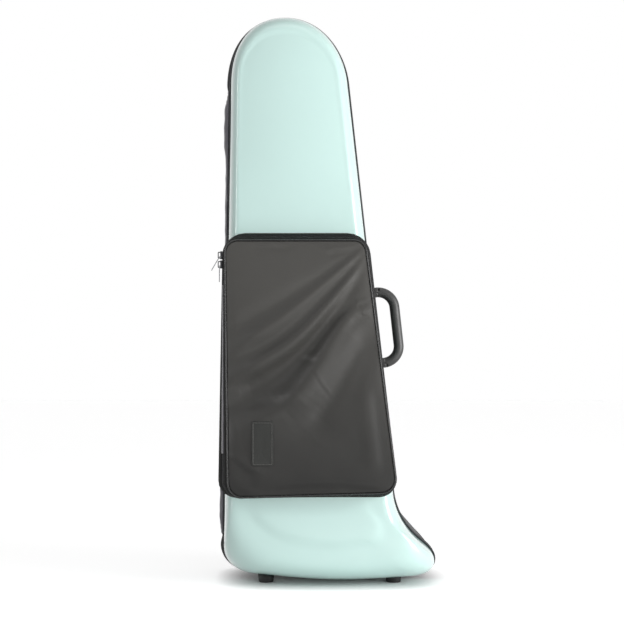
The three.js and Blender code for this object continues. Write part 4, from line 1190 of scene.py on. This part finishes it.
def fold_height(x, z, points, widths, slope):
    """A soft fold with its flank along a line, fading at its ends."""
    line = rounded_line(points)
    lengths = [np.linalg.norm(b - a) for a, b in zip(line, line[1:])]
    total = sum(lengths)
    run, rise = line[-1] - line[0]
    side = 1.0 if rise * FOLD_SIDE[0] - run * FOLD_SIDE[1] > 0 else -1.0
    nearest = np.full(x.shape, 1e9)
    off = np.zeros(x.shape)
    along = np.zeros(x.shape)
    before = 0.0
    for a, b, length in zip(line, line[1:], lengths):
        way = (b - a) / length
        dx, dz = x - a[0], z - a[1]
        t = np.clip(dx * way[0] + dz * way[1], 0, length)
        away = np.hypot(dx - way[0] * t, dz - way[1] * t)
        closer = away < nearest
        nearest = np.where(closer, away, nearest)
        off = np.where(closer, side * (dx * way[1] - dz * way[0]), off)
        along = np.where(closer, (before + t) / total, along)
        before += length
    width = (widths[0] + (widths[1] - widths[0]) * along) / MM_PER_METRE
    fade = np.clip(np.minimum(along, 1 - along) * FOLD_FADE + FOLD_END, 0, 1)
    return -slope * fade * off * np.exp(-((nearest / width) ** 2))


PANEL_LINE = bag_inset(BAG_PIPE_EDGE)
PANEL_LOW = min(p.y for p in PANEL_LINE)
PANEL_HIGH = max(p.y for p in PANEL_LINE)


def panel_height(x, z, low, high):
    """How far the front stands over its seam, at points between the ends of their rows."""
    near = np.minimum(x - low, high - x)
    above = np.minimum(z - PANEL_LOW, PANEL_HIGH - z)
    inside = np.clip(1 / (1 / np.maximum(near, 1e-6) + CORNER_EASE / np.maximum(above, 1e-6)), 0, 1)
    edge = 1 - np.exp(-inside / PANEL_EDGE_RUN)
    up = (z - PANEL_LOW) / (PANEL_HIGH - PANEL_LOW)
    reach = np.where(up > BELLY_AT, 1 - BELLY_AT, BELLY_AT)
    belly = 1 - ((up - BELLY_AT) / reach) ** 2
    across = 1 - (2 * (x - low) / (high - low) - 1) ** 2
    height = PANEL_EDGE_RISE * edge + PANEL_BELLY * belly * np.sqrt(np.clip(across, 0, 1)) * edge
    for points, widths, slope in FOLDS:
        height = height + FOLD_LIFT * edge * fold_height(x, z, points, widths, slope)
    return height


def crowded(count):
    """Shares from 0 to 1 that lie closer together near both ends."""
    even = np.linspace(0, 1, count + 1)
    return (1 - EDGE_CROWD) * even + EDGE_CROWD * (0.5 - 0.5 * np.cos(math.pi * even))


def panel_grid():
    """Places over the front panel in rows, with their heights."""
    rise = ROW_MARGIN + (1 - 2 * ROW_MARGIN) * crowded(PANEL_ROWS)
    levels = PANEL_LOW + (PANEL_HIGH - PANEL_LOW) * rise
    ends = np.array([row_ends(PANEL_LINE, z) for z in levels.tolist()])
    low, high = ends[:, :1], ends[:, 1:]
    x = low + (high - low) * crowded(PANEL_COLS)
    z = np.repeat(levels[:, None], PANEL_COLS + 1, axis=1)
    return x, z, panel_height(x, z, low, high)


PANEL_X, PANEL_Z, PANEL_HEIGHT = panel_grid()
panel_rings = []
for xs, zs, heights in zip(PANEL_X.tolist(), PANEL_Z.tolist(), PANEL_HEIGHT.tolist()):
    panel_rings.append([face_place(x, z, BAG_DEPTH - PANEL_SEAT + h) for x, z, h in zip(xs, zs, heights)])
panel = cloth("bag_front_cloth", panel_rings, LEATHER, PANEL_THICK, -1)
settle(panel, "bag_front", "leather", "bag_front_panel")


# ---- Patch, sewn on the front with a raised border and left bare
PATCH_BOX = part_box("bag_patch")
PATCH_X = (PATCH_BOX[0].x - LEFT, PATCH_BOX[1].x - LEFT)
PATCH_Z = (PATCH_BOX[0].z, PATCH_BOX[1].z)
PATCH_CORNER = 0.004
LEAST_CORNER = 0.0002
CORNER_STEPS = 6
PATCH_THICK = 0.0015
PATCH_SINK = 0.0006
PATCH_HEM = 0.0003
PATCH_ROUND = 0.0009
PATCH_DROP = 0.0005
PATCH_MIDDLE = 0.0004
PATCH_BORDER = 0.0026
PATCH_WELT = 0.0010
PATCH_RINGS = 22
STITCH_PITCH = 0.0024
STITCH_LONG = 0.0017
STITCH_RADIUS = 0.00060
STITCH_LIFT = 0.0002
STITCH_STEP = 0.0004
STITCH_SIDES = 6
STITCH_ARCH = 0.9
STITCH_SUNK = 0.35
STITCH_TIP = 0.45


def rounded_rectangle(inset):
    """Points round the patch at an even inset, clockwise from its lower left corner."""
    x0, x1 = PATCH_X[0] + inset, PATCH_X[1] - inset
    z0, z1 = PATCH_Z[0] + inset, PATCH_Z[1] - inset
    radius = max(LEAST_CORNER, PATCH_CORNER - inset)
    points = []
    for cx, cz, end in ((x0 + radius, z0 + radius, 180), (x0 + radius, z1 - radius, 90),
                        (x1 - radius, z1 - radius, 0), (x1 - radius, z0 + radius, -90)):
        points += [flat(*p) for p in arc((cx, cz), radius, end + 90, end, CORNER_STEPS)]
    return points


def on_panel(x, z, lift):
    """A point over the dressed front, between the panel's own points."""
    row = int(np.clip(np.searchsorted(PANEL_Z[:, 0], z), 1, PANEL_ROWS))
    before, after = (float(np.interp(x, PANEL_X[r], PANEL_HEIGHT[r])) for r in (row - 1, row))
    share = (z - PANEL_Z[row - 1, 0]) / (PANEL_Z[row, 0] - PANEL_Z[row - 1, 0])
    return face_place(x, z, BAG_DEPTH - PANEL_SEAT + before + (after - before) * share + lift)


def patch_ring(inset, lift):
    return [on_panel(p.x, p.y, lift) for p in rounded_rectangle(inset)]


def patch_rings():
    rings = [patch_ring(0.0, -PATCH_SINK)]
    reach = (PATCH_X[1] - PATCH_X[0]) / 2 - PATCH_MIDDLE
    for k in range(PATCH_RINGS + 1):
        inset = PATCH_HEM + (reach - PATCH_HEM) * k / PATCH_RINGS
        lift = PATCH_THICK - PATCH_DROP * max(0.0, 1 - inset / PATCH_ROUND)
        lift += PATCH_WELT * math.exp(-((inset - PATCH_BORDER / 2) / (PATCH_BORDER / 3)) ** 2)
        rings.append(patch_ring(inset, lift))
    return rings


patch = loft("fine_bag_patch", patch_rings(), PATCH_LOOK, caps=True)
settle(patch, "bag_front", "leather", "bag_patch")


def stitch_run(name, places, out):
    """Short threads end to end along a line of points, each sunk at its two ends."""
    verts, faces = [], []
    line = resample(places, STITCH_STEP)
    pitch = round(STITCH_PITCH / STITCH_STEP)
    long = round(STITCH_LONG / STITCH_STEP)
    for first in range(0, len(line) - long, pitch):
        base = len(verts)
        spot = line[first:first + long + 1]
        for k, (p, way) in enumerate(zip(spot, ways_along(spot))):
            arch = math.sin(math.pi * k / long)
            lift = STITCH_RADIUS * (STITCH_ARCH * arch - STITCH_SUNK)
            thin = STITCH_RADIUS * (STITCH_TIP + (1 - STITCH_TIP) * arch)
            side = way.cross(out).normalized()
            verts += [p + out * (lift + thin * s) + side * thin * c for c, s in circle(STITCH_SIDES)]
        for k in range(long):
            for q in range(STITCH_SIDES):
                a, b = (base + k * STITCH_SIDES + i % STITCH_SIDES for i in (q, q + 1))
                faces.append((a, b, b + STITCH_SIDES, a + STITCH_SIDES))
        faces.append(tuple(base + q for q in range(STITCH_SIDES))[::-1])
        faces.append(tuple(base + long * STITCH_SIDES + q for q in range(STITCH_SIDES)))
    return settle(face_out(mesh_object(name, verts, faces, THREAD)), "bag_front", "leather")


FRONT = Vector((0, -1, 0))
border = patch_ring(PATCH_BORDER, PATCH_THICK + STITCH_LIFT)
stitch_run("patch_stitches", border + [border[0]], FRONT)


# ---- Feet
FOOT_SIDES = 48
FOOT_PROFILE = [
    (0.0, 0.004), (0.005, 0.004), (0.005, 0.0005), (0.0055, 0.0), (0.0105, 0.0), (0.0115, 0.0004),
    (0.0121, 0.0013), (0.0125, 0.0028), (0.0126, 0.006), (0.0140, 0.022),
]
FOOT_Y = (-0.046, 0.054)
FOOT_INTO_SHELL = 0.0012
FOOT_CORE = 0.2
LOOK_FROM = Vector((0, 0, -0.1))
UP = Vector((0, 0, 1))


def foot(name, half, x, y):
    """A turned foot whose upper edge follows the underside of the shell."""
    middle = place(x, y, 0)
    surface = BVHTree.FromObject(half["shell"], bpy.context.evaluated_depsgraph_get())
    rings = []
    for radius, z in FOOT_PROFILE:
        rings.append([middle + Vector((radius * c, radius * s, z)) for c, s in circle(FOOT_SIDES)])
    for p in rings[-1]:
        hit = surface.ray_cast(p + LOOK_FROM, UP)[0]
        if hit:
            p.z = hit.z + FOOT_INTO_SHELL
    top = sum((p.z for p in rings[-1]), 0.0) / FOOT_SIDES
    core = []
    for p in rings[-1]:
        x, y = (p[i] * FOOT_CORE + middle[i] * (1 - FOOT_CORE) for i in (0, 1))
        core.append(Vector((x, y, min(top, p.z))))
    obj = loft("fine_" + name, rings + [core], RUBBER, caps=True)
    return settle(obj, half["body"], "rubber", name)


for half, y, row in zip((LID, BACK), FOOT_Y, ("front", "back")):
    for x, column in zip(FOOT_X, ("left", "right")):
        foot(f"foot_{row}_{column}", half, x, y)
        bevelled(f"foot_screw_{row}_{column}", STEEL, 0.0003, half["body"], "steel")

# ---- Handle
HANDLE_Z = 0.421
HANDLE_Y = 0.038
HANDLE_SPAN = 0.121
HANDLE_REACH = 0.040
HANDLE_RADIUS = 0.0086
HANDLE_BEND = 0.028
HANDLE_FOOT = 0.0049
HANDLE_RISE = 0.0135
HANDLE_SIDES = 32
BEND_STEPS = 14
down = Vector((RIGHT_WAY[0], 0, RIGHT_WAY[1])).normalized()
outward = Vector((-down.z, 0, down.x))
handle_at = place(right_x(HANDLE_Z), HANDLE_Y, HANDLE_Z)


def handle_points():
    """The middle line of the grip, from one plate out, along and back to the other."""
    half = HANDLE_SPAN / 2
    inner = half - HANDLE_BEND
    points = [(half, HANDLE_FOOT + HANDLE_RISE * i / 4) for i in range(4)]
    points += arc((inner, HANDLE_REACH - HANDLE_BEND), HANDLE_BEND, 0, 90, BEND_STEPS)
    points += [(x * inner, HANDLE_REACH) for x in (0.66, 0.33, 0)]
    mirrored = [(-x, away) for x, away in points[:-1]][::-1]
    return [handle_at + down * x + outward * away for x, away in points + mirrored]


grip = tube("fine_handle_grip", handle_points(), HANDLE_RADIUS, HANDLE_SIDES, GRIP)
settle(grip, "back_half", "handle", "handle_grip")
for name in ("upper", "lower"):
    bevelled("handle_plate_" + name, GRIP, 0.0012, "back_half", "handle")
    bevelled("handle_bolt_" + name, STEEL, 0.0004, "back_half", "steel")
bevelled("handle_backing_plate", STEEL, 0.0004, "back_half", "steel")

# ---- Rings, tabs, straps, sliders and pulls
for row in ("upper", "lower"):
    for column in ("left", "right"):
        spot = f"{row}_{column}"
        bevelled("ring_tab_" + spot, WEBBING, 0.0006, "back_half", "webbing")
        ring = copied("d_ring_" + spot, "fine_d_ring_" + spot, ZINC)
        modified(ring, "SUBSURF", levels=2)
        shade_smooth(ring.data)
        settle(ring, "d_ring_" + spot, "zinc", "d_ring_" + spot)
    bevelled("slide_strap_" + row, WEBBING, 0.0006, "lid", "webbing")
    for side in ("left", "right"):
        bevelled(f"strap_pad_{side}_{row}", WEBBING, 0.0003, "lid", "webbing")
    for zipped in ("case", "bag"):
        slider = f"{zipped}_{row}_slider"
        pull = f"{zipped}_{row}_pull"
        bevelled(slider, ZINC, 0.0004, slider, "zinc")
        bevelled(pull, STEEL, 0.0003, pull, "steel")
